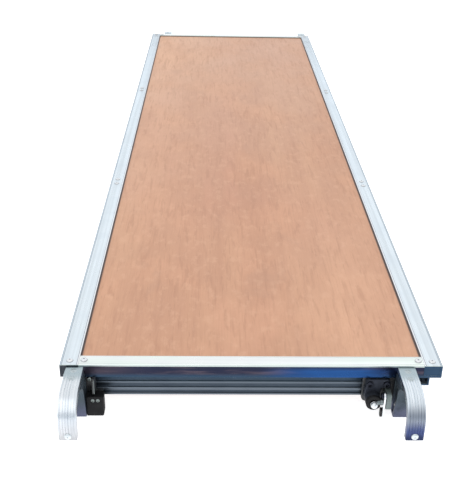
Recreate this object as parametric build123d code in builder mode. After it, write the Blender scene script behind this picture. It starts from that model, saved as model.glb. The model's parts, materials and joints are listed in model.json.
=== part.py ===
from build123d import *
import os
from math import acos, cos, degrees, radians

# Hook-on scaffold deck: an aluminium frame round a plywood deck, with two fixed hooks at each end
# that sit over a scaffold tube, and a sprung lift-off lock beside one hook of each end.
# Millimetres. +Z is up, +Y runs along the deck, +X to the right seen from the near (-Y) end.
# The origin is under the middle of the deck, on the surface that the hook legs stand on.
# The two ends are the same parts turned half a turn about Z, so neighbouring decks' hooks interleave.

# ---- driving dimensions -------------------------------------------------------------------
BAY_LENGTH = 1829.0          # between the two supporting tubes' centres, a six-foot bay
TUBE_RADIUS = 24.15          # 48.3 mm scaffold tube
HOOK_CLEARANCE = 0.5         # hook seat larger than the tube, on the radius
DECK_WIDTH = 480.0
DECK_HEIGHT = 74.0           # deck top above the surface the legs stand on
TUBE_AHEAD = 42.0            # tube centre ahead of the frame's end face
TUBE_BELOW = 36.0            # tube centre below the deck top
PLY_THICKNESS = 12.0

# ---- frame extrusions ---------------------------------------------------------------------
FRAME_LENGTH = BAY_LENGTH - 2 * TUBE_AHEAD
HALF_LENGTH = FRAME_LENGTH / 2
HALF_WIDTH = DECK_WIDTH / 2
FLANGE = 3.0                 # top flange and outer web thickness
LEDGE = 3.5                  # ledge below the plywood
CHANNEL_DEPTH = FLANGE + PLY_THICKNESS + LEDGE
RAIL_WIDTH = 23.5
TRIM_WIDTH = 20.0
STEM_OUTER = 11.0            # stem's outer face, in from the deck's side
STEM_WIDTH = 15.0
STEM_BOTTOM = 39.0           # below the deck top
STEM_WALL = 2.2
STEM_SETBACK = 12.0          # stems and end beams start this far behind the end face
BEAM_DEPTH = 30.0            # end beam, front to back
BEAM_BOTTOM = 55.0
BEAM_WALL = 3.0
BEAM_HALF = HALF_WIDTH - STEM_OUTER - STEM_WIDTH - 0.2
CROSS_WIDTH = 40.0
CROSS_Y = FRAME_LENGTH / 6   # cross members divide the deck in three
CROSS_WALL = 2.2
BEAM_GROOVES = ((21.5, 33.5), (37.0, 43.0), (47.5, 51.8))    # across the beam's front, below the deck top
BEAM_GROOVE_DEPTH = 2.2
PLY_GAP = 5.0                # plywood stops this far behind the end face
PLY_SIDE_PLAY = 0.3
CAP_THICKNESS = 4.0
STRIP_WIDTH = 16.0           # packing strips under the plywood
STRIP_SETBACK = 32.0
STRIP_END_GAP = 4.0
RAIL_EDGE = 0.8
RAIL_CORNER = 2.0
TRIM_EDGE = 1.2

# ---- hooks --------------------------------------------------------------------------------
SEAT_RADIUS = TUBE_RADIUS + HOOK_CLEARANCE
STRAP_THICKNESS = 8.75
STRAP_WIDTH = 22.0
STRAP_TIP = 57.0             # hook tip below the deck top
STRAP_BOTTOM = TUBE_BELOW - SEAT_RADIUS          # underside of the strap's straight run
STRAP_TOP = STRAP_BOTTOM - STRAP_THICKNESS
STRAP_START = 0.4
GROOVE_WIDTH = 0.9
GROOVE_DEPTH = 0.5
GROOVES = 6
GROOVE_MARGIN = 2.4
GROOVE_END = 45.0
STRAP_TIP_ROUND = 2.5
STRAP_EDGE = 0.6
LEG_WIDTH = 23.0
LEG_WALL = 4.5
LEG_WEB = 5.0
LEG_NOSE = 36.0              # leg's top reaches this far ahead of the end face
LEG_TOE = 9.0                # front of the leg's foot, leaning back to guide the tube in
LEG_HEEL = 3.0
LEG_POCKET_TOP = 23.0
LEG_BOLT_PLAY = 0.2
OUTER_HOOK = 8.0             # outer hook's side, in from the deck's side
INNER_HOOK = 35.0            # inner hook's side, on the other rail
PLATE_FRONT = -7.0           # face of the hook plates, ahead of the end face
PLATE_BACK = -STEM_SETBACK
PLATE_TOP = CHANNEL_DEPTH + 0.5
PLATE_BOTTOM = 72.0
OUTER_PLATE_CORNER = 4.0
INNER_PLATE_CORNER = 6.0
INNER_PLATE_OVERLAP = 1.0    # shared height of the inner plate's two rectangles
LEG_BOLT_DEPTHS = (30.0, 62.0)
PLATE_SCREW_DEPTH = 25.5
PLATE_SCREW_X = -HALF_WIDTH + 35.2
PLATE_SCREW_HEAD = 3.4
OUTER_PLATE_END = 42.5
OUTER_PLATE_FOOT = 51.0      # end of the outer plate's lower part, behind the buffer
OUTER_PLATE_STEP = 44.5
FLANGE_THICKNESS = 3.0
FLANGE_FRONT = 6.0
FLANGE_BOTTOM = 43.0
BUFFER_GAP = 0.5             # between the buffer and the leg
BUFFER_END = 53.0
BUFFER_FRONT = 7.5
BUFFER_TOP = 44.0
BUFFER_BOTTOM = 73.5
BUFFER_SCREW_X = (-HALF_WIDTH + 39.5, -HALF_WIDTH + 46.0)
BUFFER_SCREW_DEPTH = 50.0
BUFFER_SCREW_RADIUS = 1.5
BUFFER_SCREW_HEAD = 2.6
BUFFER_SCREW_SINK = 2.0      # the heads sit this deep in the buffer, flush with its front
BUFFER_SCREW_PLAY = 0.1
BUFFER_SIDE_ROUND = 2.0
BUFFER_FRONT_ROUND = 1.0

# ---- lift-off lock ------------------------------------------------------------------------
LOCK_X = HALF_WIDTH - 86.0
LOCK_BELOW = 47.0            # plunger axis below the deck top
PLUNGER_RADIUS = 4.5
PLUNGER_TIP = 23.5
PLUNGER_TAIL = -1.0
PLUNGER_TRAVEL = 3.41
BARREL_RADIUS = 10.0
BARREL_FRONT = 14.5
BARREL_PLAY = 0.2            # between the barrel and its hole in the plate
BORE_RADIUS = PLUNGER_RADIUS + 0.04
NOSE_FLAT = 0.1              # radius of the flat left on the plunger's domed nose
PLUNGER_CHAMFER = 0.5
SLOT_PLAY = 0.3              # between the bush and the barrel's slot
COLLAR_LENGTH = 4.0
COLLAR_WALL = 1.5
PLUG_LENGTH = 1.5
PIN_AHEAD = 11.5             # cross pin and lever pivot, ahead of the end face
PIN_RADIUS = 2.5
PIN_END = HALF_WIDTH - 66.0
PIN_INNER_REACH = 3.2
LEVER_SWING = 21.0           # degrees
PIVOT_HEAD = 4.0
PIVOT_HEAD_HEIGHT = 2.8
COLLAR_LIP = 1.0
COLLAR_PLAY = 0.6            # between the wiper's lip and the plunger
COLLAR_ROUND = 1.0
BUSH_RADIUS = 4.5
BUSH_GAP = 0.4               # to the lever
BUSH_INNER_GAP = 0.6         # to the plunger
PIN_CHAMFER = 0.4
PIN_END_PLAY = 0.5
PIVOT_BELOW = 38.0
PIVOT_RADIUS = 2.5
RUNNING_FIT = 0.05
LEVER_X = HALF_WIDTH - 73.5  # lever's inboard face
LEVER_THICKNESS = 2.5
LEVER_HALF = 4.6
LEVER_TAIL = 70.0
LEVER_SLOT_PLAY = 0.25
GRIP_TOP = 58.0
GRIP_THICKNESS = 2.8
GRIP_ROUND = 0.6
LEVER_TAPER = 1.0
PIVOT_GAP = 0.3
PIVOT_EDGE = 0.5
LUG_X = HALF_WIDTH - 70.2
LUG_END = HALF_WIDTH - 64.0
LUG_TOP = 33.0
LUG_BOTTOM = 57.0
LUG_FRONT = 16.5
LUG_CORNER = 3.0
BLOCK_X = (HALF_WIDTH - 95.0, HALF_WIDTH - 64.0)
BLOCK_FRONT = 3.0
BLOCK_TOP = 20.0
BLOCK_SCREW_X = (HALF_WIDTH - 91.0, HALF_WIDTH - 69.0)
BLOCK_SCREW_DEPTH = 26.0
BLOCK_BOTTOM = 32.4
BLOCK_CORNER = 5.0
INNER_PLATE_START = HALF_WIDTH - 98.0
INNER_PLATE_STEP = 60.0      # inner plate's lower edge beside the leg
SPRING_WIRE = 0.45
SPRING_RADIUS = 3.7
SPRING_TURNS = 5

# ---- fasteners ----------------------------------------------------------------------------
RIVET_HEAD = 4.5
RIVET_RISE = 2.0
RIVET_SHANK = 2.4
RAIL_RIVET_INSET = (12.0, 9.0)     # in from the deck's side and from its end
TRIM_RIVET_INSET = (29.5, 10.5)
CROSS_RIVET_HALF_PITCH = 10.0
BOLT_RADIUS = 4.0            # M8
BOLT_FLATS = 13.0
BOLT_HEAD = 5.3
HEAD_EDGE = 0.5
SCREW_RADIUS = 2.5           # M5
SCREW_HEAD = 4.4
SCREW_HEAD_HEIGHT = 3.0
STRAP_RIVETS_AHEAD = (9.0, 24.0)
STRAP_RIVET_HEAD = 4.2
STRAP_RIVET_SINK = 2.5
TIP_RIVET_BELOW = 50.0
CLEAT_LEG = 24.0
CLEAT_THICKNESS = 3.0
CLEAT_TOP_GAP = 1.5
CLEAT_RIVET = 14.9           # rivet's distance from the cleat's corner
SOCKET_RADIUS = 2.2
SOCKET_DEPTH = 1.8
LUG_SCREW_RADIUS = 1.5
LUG_SCREW_X = LUG_X + 4.0
LUG_SCREW_DEPTHS = (42.0, 54.0)
LUG_SCREW_REACH = 9.0

os.makedirs("parts", exist_ok=True)


def side_plane(x):
    """Looking along X at the near end: sketch x runs forward from the end face, y up from the deck top.
    Extruding goes towards -X."""
    return Plane(origin=(x, -HALF_LENGTH, DECK_HEIGHT), x_dir=(0, -1, 0), z_dir=(-1, 0, 0))


def front_plane(ahead):
    """Facing the near end: sketch x is X, y up from the deck top. Extruding goes forward, to -Y."""
    return Plane(origin=(0, -HALF_LENGTH - ahead, DECK_HEIGHT), x_dir=(1, 0, 0), z_dir=(0, -1, 0))


def top_plane(below=0.0):
    return Plane.XY.offset(DECK_HEIGHT - below)


def rect(x0, x1, low, high, mode=Mode.ADD):
    """A rectangle between two x values and two depths below the deck top."""
    with Locations(((x0 + x1) / 2, -(low + high) / 2)):
        Rectangle(abs(x1 - x0), abs(high - low), mode=mode)


def save(part, name):
    part.label = name
    export_step(part, f"parts/{name}.step")


def save_both_ends(part, name):
    """The near end's piece, and the same piece turned half a turn for the far end."""
    save(part, f"near_{name}")
    save(part.rotate(Axis.Z, 180), f"far_{name}")


def at_four_corners(inset_x, inset_y):
    xs = (HALF_WIDTH - inset_x, -HALF_WIDTH + inset_x)
    ys = (HALF_LENGTH - inset_y, -HALF_LENGTH + inset_y)
    return [(x, y) for x in xs for y in ys]


RAIL_RIVETS = at_four_corners(*RAIL_RIVET_INSET) + [
    (side * (HALF_WIDTH - RAIL_RIVET_INSET[0]), end * (CROSS_Y + offset))
    for side in (-1, 1) for end in (-1, 1)
    for offset in (-CROSS_RIVET_HALF_PITCH, CROSS_RIVET_HALF_PITCH)
]
TRIM_RIVETS = at_four_corners(*TRIM_RIVET_INSET)


# ---- deck and frame -----------------------------------------------------------------------
def plywood_deck():
    with BuildPart() as deck:
        with BuildSketch(top_plane(FLANGE + PLY_THICKNESS)):
            Rectangle(DECK_WIDTH - 2 * (FLANGE + PLY_SIDE_PLAY), FRAME_LENGTH - 2 * PLY_GAP)
        extrude(amount=PLY_THICKNESS)
    save(deck.part, "plywood_deck")


def side_rail(name, side):
    """Channel that holds the plywood's edge, over a box stem that carries the load."""
    with BuildPart() as rail:
        with BuildSketch(front_plane(-FRAME_LENGTH)):
            rect(HALF_WIDTH - RAIL_WIDTH, HALF_WIDTH, 0, CHANNEL_DEPTH)
            rect(HALF_WIDTH - RAIL_WIDTH, HALF_WIDTH - FLANGE, FLANGE, CHANNEL_DEPTH - LEDGE,
                 Mode.SUBTRACT)
        extrude(amount=FRAME_LENGTH)
        outer_top = rail.edges().filter_by(Axis.Y).group_by(Axis.Z)[-1].sort_by(Axis.X)[-1]
        chamfer(outer_top, RAIL_EDGE)
        stem_inner = HALF_WIDTH - STEM_OUTER - STEM_WIDTH
        with BuildSketch(front_plane(STEM_SETBACK - FRAME_LENGTH)):
            rect(stem_inner, stem_inner + STEM_WIDTH, CHANNEL_DEPTH, STEM_BOTTOM)
            rect(stem_inner + STEM_WALL, stem_inner + STEM_WIDTH - STEM_WALL,
                 CHANNEL_DEPTH + STEM_WALL, STEM_BOTTOM - STEM_WALL, Mode.SUBTRACT)
        extrude(amount=FRAME_LENGTH - 2 * STEM_SETBACK)
        corner_edges = rail.edges().filter_by(Axis.Z).group_by(Axis.X)[-1]
        fillet(corner_edges, RAIL_CORNER)
        with BuildSketch(top_plane()):
            with Locations(*[spot for spot in RAIL_RIVETS if spot[0] > 0]):
                Circle(RIVET_SHANK)
        extrude(amount=-FLANGE, mode=Mode.SUBTRACT)
    save(rail.part if side > 0 else rail.part.rotate(Axis.Z, 180), name)


def end_trim():
    """Channel across the end, between the two rails, over the plywood's end."""
    reach = HALF_WIDTH - RAIL_WIDTH
    with BuildPart() as trim:
        with BuildSketch(side_plane(reach)):
            rect(-TRIM_WIDTH, 0, 0, CHANNEL_DEPTH)
            rect(-TRIM_WIDTH, -FLANGE, FLANGE, CHANNEL_DEPTH - LEDGE, Mode.SUBTRACT)
        extrude(amount=2 * reach)
        front_top = trim.edges().filter_by(Axis.X).group_by(Axis.Z)[-1].sort_by(Axis.Y)[0]
        fillet(front_top, TRIM_EDGE)
        with BuildSketch(top_plane()):
            with Locations(*[spot for spot in TRIM_RIVETS if spot[1] < 0]):
                Circle(RIVET_SHANK)
        extrude(amount=-FLANGE, mode=Mode.SUBTRACT)
    save_both_ends(trim.part, "end_trim")


def end_beam():
    """Hollow ribbed extrusion across the end, below the trim, that the hook plates bolt to."""
    front, back = -STEM_SETBACK, -STEM_SETBACK - BEAM_DEPTH
    with BuildPart() as beam:
        with BuildSketch(side_plane(BEAM_HALF)):
            rect(back, front, CHANNEL_DEPTH, BEAM_BOTTOM)
            rect(back + BEAM_WALL, front - 2 * BEAM_WALL, CHANNEL_DEPTH + BEAM_WALL,
                 BEAM_BOTTOM - BEAM_WALL, Mode.SUBTRACT)
            for low, high in BEAM_GROOVES:
                rect(front - BEAM_GROOVE_DEPTH, front, low, high, Mode.SUBTRACT)
        extrude(amount=2 * BEAM_HALF)
        with BuildSketch(front_plane(front)):
            for x, depth in beam_holes():
                with Locations((x, -depth)):
                    Circle(SCREW_RADIUS)
        extrude(amount=-2 * BEAM_WALL, mode=Mode.SUBTRACT)
    save_both_ends(beam.part, "end_beam")


def beam_holes():
    return [(PLATE_SCREW_X, PLATE_SCREW_DEPTH)] + [(x, BLOCK_SCREW_DEPTH) for x in BLOCK_SCREW_X]


def cross_members():
    with BuildPart() as member:
        with BuildSketch(side_plane(BEAM_HALF)):
            middle = CROSS_Y - HALF_LENGTH
            rect(middle - CROSS_WIDTH / 2, middle + CROSS_WIDTH / 2, CHANNEL_DEPTH, STEM_BOTTOM)
            rect(middle - CROSS_WIDTH / 2 + CROSS_WALL, middle + CROSS_WIDTH / 2 - CROSS_WALL,
                 CHANNEL_DEPTH + CROSS_WALL, STEM_BOTTOM - CROSS_WALL, Mode.SUBTRACT)
        extrude(amount=2 * BEAM_HALF)
    save_both_ends(member.part, "cross_member")


def bearing_strips():
    """Packing between the plywood's underside and the beams and cross members."""
    with BuildPart() as strips:
        with BuildSketch(top_plane(CHANNEL_DEPTH)):
            for y in (STRIP_SETBACK - HALF_LENGTH, -CROSS_Y, CROSS_Y, HALF_LENGTH - STRIP_SETBACK):
                with Locations((0, y)):
                    Rectangle(2 * (BEAM_HALF - STRIP_END_GAP), STRIP_WIDTH)
        extrude(amount=LEDGE)
    save(strips.part, "deck_bearing_strips")


def rail_end_caps():
    with BuildPart() as caps:
        for x, y in at_four_corners((FLANGE + RAIL_WIDTH) / 2, CAP_THICKNESS / 2):
            with Locations((x, y, DECK_HEIGHT - FLANGE - PLY_THICKNESS / 2)):
                Box(RAIL_WIDTH - FLANGE, CAP_THICKNESS, PLY_THICKNESS)
    save(caps.part, "rail_end_caps")


def cleats():
    """Angle cleats between each beam or cross member and the stems' inner faces, with their rivets."""
    stem_face = HALF_WIDTH - STEM_OUTER - STEM_WIDTH
    beam_back = HALF_LENGTH - STEM_SETBACK - BEAM_DEPTH
    seats = [(beam_back, -1), (CROSS_Y + CROSS_WIDTH / 2, 1), (CROSS_Y - CROSS_WIDTH / 2, -1)]
    spots = [(side, end * y, end * turn) for side in (-1, 1) for end in (-1, 1) for y, turn in seats]
    top, bottom = CHANNEL_DEPTH + CLEAT_TOP_GAP, STEM_BOTTOM - CLEAT_TOP_GAP
    middle = (top + bottom) / 2
    with BuildPart() as angles:
        for side, y, turn in spots:
            with BuildSketch(top_plane(bottom)):
                with Locations((side * (stem_face - CLEAT_LEG / 2), y + turn * CLEAT_THICKNESS / 2)):
                    Rectangle(CLEAT_LEG, CLEAT_THICKNESS)
                with Locations((side * (stem_face - CLEAT_THICKNESS / 2), y + turn * CLEAT_LEG / 2)):
                    Rectangle(CLEAT_THICKNESS, CLEAT_LEG)
            extrude(amount=bottom - top)
        for side, y, turn in spots:
            for plane in cleat_rivet_planes(side, y, turn, middle):
                with BuildSketch(plane):
                    Circle(RIVET_SHANK)
                extrude(amount=-CLEAT_THICKNESS, mode=Mode.SUBTRACT)
    save(angles.part, "frame_cleats")

    rivet = dome_rivet(CLEAT_THICKNESS)
    with BuildPart() as rivets:
        for side, y, turn in spots:
            with Locations(*cleat_rivet_planes(side, y, turn, middle)):
                add(rivet)
    save(rivets.part, "cleat_rivets")


def cleat_rivet_planes(side, y, turn, depth):
    """Outer surfaces of a cleat's two legs, where its rivets' heads sit."""
    stem_face = HALF_WIDTH - STEM_OUTER - STEM_WIDTH
    z = DECK_HEIGHT - depth
    on_member = Plane(origin=(side * (stem_face - CLEAT_RIVET), y + turn * CLEAT_THICKNESS, z),
                      z_dir=(0, turn, 0))
    on_stem = Plane(origin=(side * (stem_face - CLEAT_THICKNESS), y + turn * CLEAT_RIVET, z),
                    z_dir=(-side, 0, 0))
    return on_member, on_stem


def dome_rivet(grip):
    """Dome-headed rivet at the origin: the head stands on the XY plane and the shank goes down from it."""
    sphere = (RIVET_HEAD ** 2 + RIVET_RISE ** 2) / (2 * RIVET_RISE)
    with BuildPart() as rivet:
        with BuildSketch(Plane.XZ):
            with BuildLine():
                Polyline((0, RIVET_RISE), (0, -grip), (RIVET_SHANK, -grip), (RIVET_SHANK, 0),
                         (RIVET_HEAD, 0))
                RadiusArc((RIVET_HEAD, 0), (0, RIVET_RISE), -sphere)
            make_face()
        revolve(axis=Axis.Z)
    return rivet.part


def frame_rivets():
    rivet = dome_rivet(FLANGE)
    with BuildPart() as rivets:
        with Locations(*[(x, y, DECK_HEIGHT) for x, y in RAIL_RIVETS + TRIM_RIVETS]):
            add(rivet)
    save(rivets.part, "frame_rivets")


# ---- hooks --------------------------------------------------------------------------------
def hook_side(kind):
    """X of the hook strap's two sides: the outer hook is on the left, the inner hook on the right."""
    if kind == "outer":
        return -HALF_WIDTH + OUTER_HOOK, -HALF_WIDTH + OUTER_HOOK + STRAP_WIDTH
    return HALF_WIDTH - INNER_HOOK - STRAP_WIDTH, HALF_WIDTH - INNER_HOOK


def leg_side(kind):
    """X of the leg's two sides. A leg is flush with its strap outboard and wider inboard."""
    low, high = hook_side(kind)
    return (low, low + LEG_WIDTH) if kind == "outer" else (high - LEG_WIDTH, high)


def strap_outline():
    """Outline of the strap: straight run, quarter turn over the tube, straight down to the tip."""
    outer, inner = SEAT_RADIUS + STRAP_THICKNESS, SEAT_RADIUS
    centre = (TUBE_AHEAD, -TUBE_BELOW)
    with BuildSketch() as outline:
        with BuildLine():
            Line((STRAP_START, -STRAP_TOP), (TUBE_AHEAD, -STRAP_TOP))
            CenterArc(centre, outer, 0, 90)
            Polyline((TUBE_AHEAD + outer, -TUBE_BELOW), (TUBE_AHEAD + outer, -STRAP_TIP),
                     (TUBE_AHEAD + inner, -STRAP_TIP), (TUBE_AHEAD + inner, -TUBE_BELOW))
            CenterArc(centre, inner, 0, 90)
            Polyline((TUBE_AHEAD, -STRAP_BOTTOM), (STRAP_START, -STRAP_BOTTOM), (STRAP_START, -STRAP_TOP))
        make_face()
    return outline.sketch


def groove_outline():
    """Thin skin just under the strap's outer surface, along its straight run and its turn."""
    outer = SEAT_RADIUS + STRAP_THICKNESS
    with BuildSketch() as outline:
        with BuildLine():
            for radius in (outer, outer - GROOVE_DEPTH):
                Line((TUBE_AHEAD / 2, -TUBE_BELOW + radius), (TUBE_AHEAD, -TUBE_BELOW + radius))
                CenterArc((TUBE_AHEAD, -TUBE_BELOW), radius, 0, 90)
                Line((TUBE_AHEAD + radius, -TUBE_BELOW), (TUBE_AHEAD + radius, -GROOVE_END))
            Line((TUBE_AHEAD / 2, -STRAP_TOP), (TUBE_AHEAD / 2, -STRAP_TOP - GROOVE_DEPTH))
            Line((TUBE_AHEAD + outer, -GROOVE_END), (TUBE_AHEAD + outer - GROOVE_DEPTH, -GROOVE_END))
        make_face()
    return outline.sketch


def strap_rivet():
    """Flush rivet at the origin: its stepped head and shank go down from the XY plane."""
    with BuildPart() as rivet:
        for radius, sink in ((STRAP_RIVET_HEAD, STRAP_RIVET_SINK), (RIVET_SHANK, STRAP_THICKNESS)):
            with BuildSketch():
                Circle(radius)
            extrude(amount=-sink)
    return rivet.part


def strap_rivet_spots(kind):
    middle = sum(hook_side(kind)) / 2
    return [(middle, -HALF_LENGTH - ahead, DECK_HEIGHT - STRAP_TOP) for ahead in STRAP_RIVETS_AHEAD]


def hook_strap(kind):
    """Bent flat bar with fine grooves along it, riveted to its leg and carrying a rivet at its tip."""
    low, high = hook_side(kind)
    middle = (low + high) / 2
    outline, groove, rivet = strap_outline(), groove_outline(), strap_rivet()
    pitch = (STRAP_WIDTH - 2 * GROOVE_MARGIN - GROOVE_WIDTH) / (GROOVES - 1)
    with BuildPart() as strap:
        with BuildSketch(side_plane(high)):
            add(outline)
        extrude(amount=STRAP_WIDTH)
        fillet(strap.edges().filter_by(Axis.X).group_by(Axis.Z)[0], STRAP_TIP_ROUND)
        chamfer(strap.faces().filter_by(Axis.X).edges(), STRAP_EDGE)
        for index in range(GROOVES):
            with BuildSketch(side_plane(low + GROOVE_MARGIN + index * pitch + GROOVE_WIDTH)):
                add(groove)
            extrude(amount=GROOVE_WIDTH, mode=Mode.SUBTRACT)
        with Locations(*strap_rivet_spots(kind)):
            add(rivet, mode=Mode.SUBTRACT)
        with BuildSketch(front_plane(TUBE_AHEAD + SEAT_RADIUS + STRAP_THICKNESS)):
            with Locations((middle, -TIP_RIVET_BELOW)):
                Circle(RIVET_SHANK)
        extrude(amount=-STRAP_THICKNESS, mode=Mode.SUBTRACT)
    save_both_ends(strap.part, f"{kind}_hook_strap")


def hook_rivets():
    """Flush rivets that hold each strap on its leg, and a dome rivet at each hook's tip."""
    flush, dome = strap_rivet(), dome_rivet(STRAP_THICKNESS)
    tip = front_plane(TUBE_AHEAD + SEAT_RADIUS + STRAP_THICKNESS)
    with BuildPart() as rivets:
        for kind in ("outer", "inner"):
            with Locations(*strap_rivet_spots(kind)):
                add(flush)
            with Locations(tip * Location((sum(hook_side(kind)) / 2, -TIP_RIVET_BELOW, 0))):
                add(dome)
    save_both_ends(rivets.part, "hook_rivets")


def leg_outline():
    """Outline of the cast leg: concave seat under the strap, then a front that leans back."""
    nose = LEG_NOSE - TUBE_AHEAD
    seat_top = -TUBE_BELOW + (SEAT_RADIUS ** 2 - nose ** 2) ** 0.5
    start = degrees(acos(nose / SEAT_RADIUS))
    with BuildSketch() as outline:
        with BuildLine():
            Polyline((STRAP_START, -STRAP_BOTTOM), (LEG_NOSE, -STRAP_BOTTOM), (LEG_NOSE, seat_top))
            CenterArc((TUBE_AHEAD, -TUBE_BELOW), SEAT_RADIUS, start, 180 - start)
            Polyline(
                (TUBE_AHEAD - SEAT_RADIUS, -TUBE_BELOW), (LEG_TOE, -DECK_HEIGHT),
                (PLATE_FRONT + LEG_HEEL, -DECK_HEIGHT), (PLATE_FRONT, -DECK_HEIGHT + LEG_HEEL),
                (PLATE_FRONT, -PLATE_TOP), (STRAP_START, -PLATE_TOP), (STRAP_START, -STRAP_BOTTOM),
            )
        make_face()
    return outline.sketch


def hook_leg(kind):
    """Cast leg with an open pocket on its inboard side and a web outboard."""
    high = leg_side(kind)[1]
    pocket_start = high if kind == "outer" else high - LEG_WEB
    outline = leg_outline()
    with BuildPart() as leg:
        with BuildSketch(side_plane(high)):
            add(outline)
        extrude(amount=LEG_WIDTH)
        with BuildSketch(side_plane(pocket_start)):
            add(outline)
            offset(amount=-LEG_WALL, mode=Mode.REPLACE)
            rect(PLATE_FRONT, LEG_NOSE, 0, LEG_POCKET_TOP, Mode.SUBTRACT)
        extrude(amount=LEG_WIDTH - LEG_WEB, mode=Mode.SUBTRACT)
        with BuildSketch(front_plane(PLATE_FRONT)):
            with Locations(*[(leg_bolt_x(kind), -depth) for depth in LEG_BOLT_DEPTHS]):
                Circle(BOLT_RADIUS + LEG_BOLT_PLAY)
        extrude(amount=LEG_WALL, mode=Mode.SUBTRACT)
    save_both_ends(leg.part, f"{kind}_hook_leg")


def leg_bolt_x(kind):
    low, high = leg_side(kind)
    pocket_middle = (LEG_WIDTH - LEG_WEB) / 2
    return high - pocket_middle if kind == "outer" else low + pocket_middle


def hex_bolt(length):
    """Hexagon bolt at the origin: the head stands on the XY plane and the shank goes down from it."""
    with BuildPart() as bolt:
        with BuildSketch():
            RegularPolygon(BOLT_FLATS / 2, 6, major_radius=False)
        extrude(amount=BOLT_HEAD)
        chamfer(bolt.faces().sort_by(Axis.Z)[-1].edges(), HEAD_EDGE)
        with BuildSketch():
            Circle(BOLT_RADIUS)
        extrude(amount=-length)
    return bolt.part


def hook_bolts():
    """Bolts from the legs' pockets into the plates."""
    leg_seat = PLATE_FRONT + LEG_WALL
    leg_bolt = hex_bolt(leg_seat - PLATE_BACK)
    leg_spots = [(leg_bolt_x(kind), -depth) for kind in ("outer", "inner") for depth in LEG_BOLT_DEPTHS]
    with BuildPart() as bolts:
        with Locations(*[front_plane(leg_seat) * Location((x, y, 0)) for x, y in leg_spots]):
            add(leg_bolt)
    save_both_ends(bolts.part, "hook_bolts")


def cap_screw(length, head):
    """Socket cap screw at the origin: the head stands on the XY plane and the shank goes down from it."""
    with BuildPart() as screw:
        with BuildSketch():
            Circle(head)
        extrude(amount=SCREW_HEAD_HEIGHT)
        chamfer(screw.faces().sort_by(Axis.Z)[-1].edges(), HEAD_EDGE)
        with BuildSketch(Plane.XY.offset(SCREW_HEAD_HEIGHT)):
            RegularPolygon(SOCKET_RADIUS, 6)
        extrude(amount=-SOCKET_DEPTH, mode=Mode.SUBTRACT)
        with BuildSketch():
            Circle(SCREW_RADIUS)
        extrude(amount=-length)
    return screw.part


def plate_screws():
    """The screw through the outer plate and the beam's front wall."""
    screw = cap_screw(PLATE_FRONT - PLATE_BACK + 2 * BEAM_WALL, PLATE_SCREW_HEAD)
    with BuildPart() as screws:
        with Locations(front_plane(PLATE_FRONT) * Location((PLATE_SCREW_X, -PLATE_SCREW_DEPTH, 0))):
            add(screw)
    save_both_ends(screws.part, "plate_screws")


def outer_hook_plate():
    """Steel plate behind the outer hook's leg, with a stiffening flange and a foot behind the buffer."""
    start, end = -HALF_WIDTH + OUTER_HOOK, -HALF_WIDTH + OUTER_PLATE_END
    with BuildPart() as plate:
        with BuildSketch(front_plane(PLATE_BACK)):
            rect(start, end, PLATE_TOP, PLATE_BOTTOM)
            rect(start, -HALF_WIDTH + OUTER_PLATE_FOOT, OUTER_PLATE_STEP, PLATE_BOTTOM)
        extrude(amount=PLATE_FRONT - PLATE_BACK)
        with BuildSketch(front_plane(PLATE_FRONT)):
            rect(end - FLANGE_THICKNESS, end, PLATE_TOP, FLANGE_BOTTOM)
        extrude(amount=FLANGE_FRONT - PLATE_FRONT)
        corner = plate.edges().filter_by(Axis.X).group_by(Axis.Y)[0].group_by(Axis.Z)[0]
        fillet(corner, OUTER_PLATE_CORNER)
        with BuildSketch(front_plane(PLATE_FRONT)):
            with Locations(*[(leg_bolt_x("outer"), -depth) for depth in LEG_BOLT_DEPTHS]):
                Circle(BOLT_RADIUS)
            with Locations((PLATE_SCREW_X, -PLATE_SCREW_DEPTH)):
                Circle(SCREW_RADIUS)
            with Locations(*[(x, -BUFFER_SCREW_DEPTH) for x in BUFFER_SCREW_X]):
                Circle(BUFFER_SCREW_RADIUS)
        extrude(amount=PLATE_BACK - PLATE_FRONT, mode=Mode.SUBTRACT)
    save_both_ends(plate.part, "outer_hook_plate")


def inner_hook_plate():
    """Steel plate behind the inner hook's leg and the lock."""
    with BuildPart() as plate:
        with BuildSketch(front_plane(PLATE_BACK)):
            rect(INNER_PLATE_START, HALF_WIDTH - INNER_HOOK, PLATE_TOP, INNER_PLATE_STEP)
            rect(leg_side("inner")[0], HALF_WIDTH - INNER_HOOK, INNER_PLATE_STEP - INNER_PLATE_OVERLAP,
                 PLATE_BOTTOM)
        extrude(amount=PLATE_FRONT - PLATE_BACK)
        low_corner = plate.edges().filter_by(Axis.Y).group_by(Axis.X)[0].sort_by(Axis.Z)[0]
        fillet(low_corner, INNER_PLATE_CORNER)
        with BuildSketch(front_plane(PLATE_FRONT)):
            with Locations(*[(leg_bolt_x("inner"), -depth) for depth in LEG_BOLT_DEPTHS]):
                Circle(BOLT_RADIUS)
            with Locations(*[(x, -BLOCK_SCREW_DEPTH) for x in BLOCK_SCREW_X]):
                Circle(SCREW_RADIUS)
            with Locations((LOCK_X, -LOCK_BELOW)):
                Circle(BARREL_RADIUS + BARREL_PLAY)
            with Locations(*[(LUG_SCREW_X, -depth) for depth in LUG_SCREW_DEPTHS]):
                Circle(LUG_SCREW_RADIUS)
        extrude(amount=PLATE_BACK - PLATE_FRONT, mode=Mode.SUBTRACT)
    save_both_ends(plate.part, "inner_hook_plate")


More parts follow.
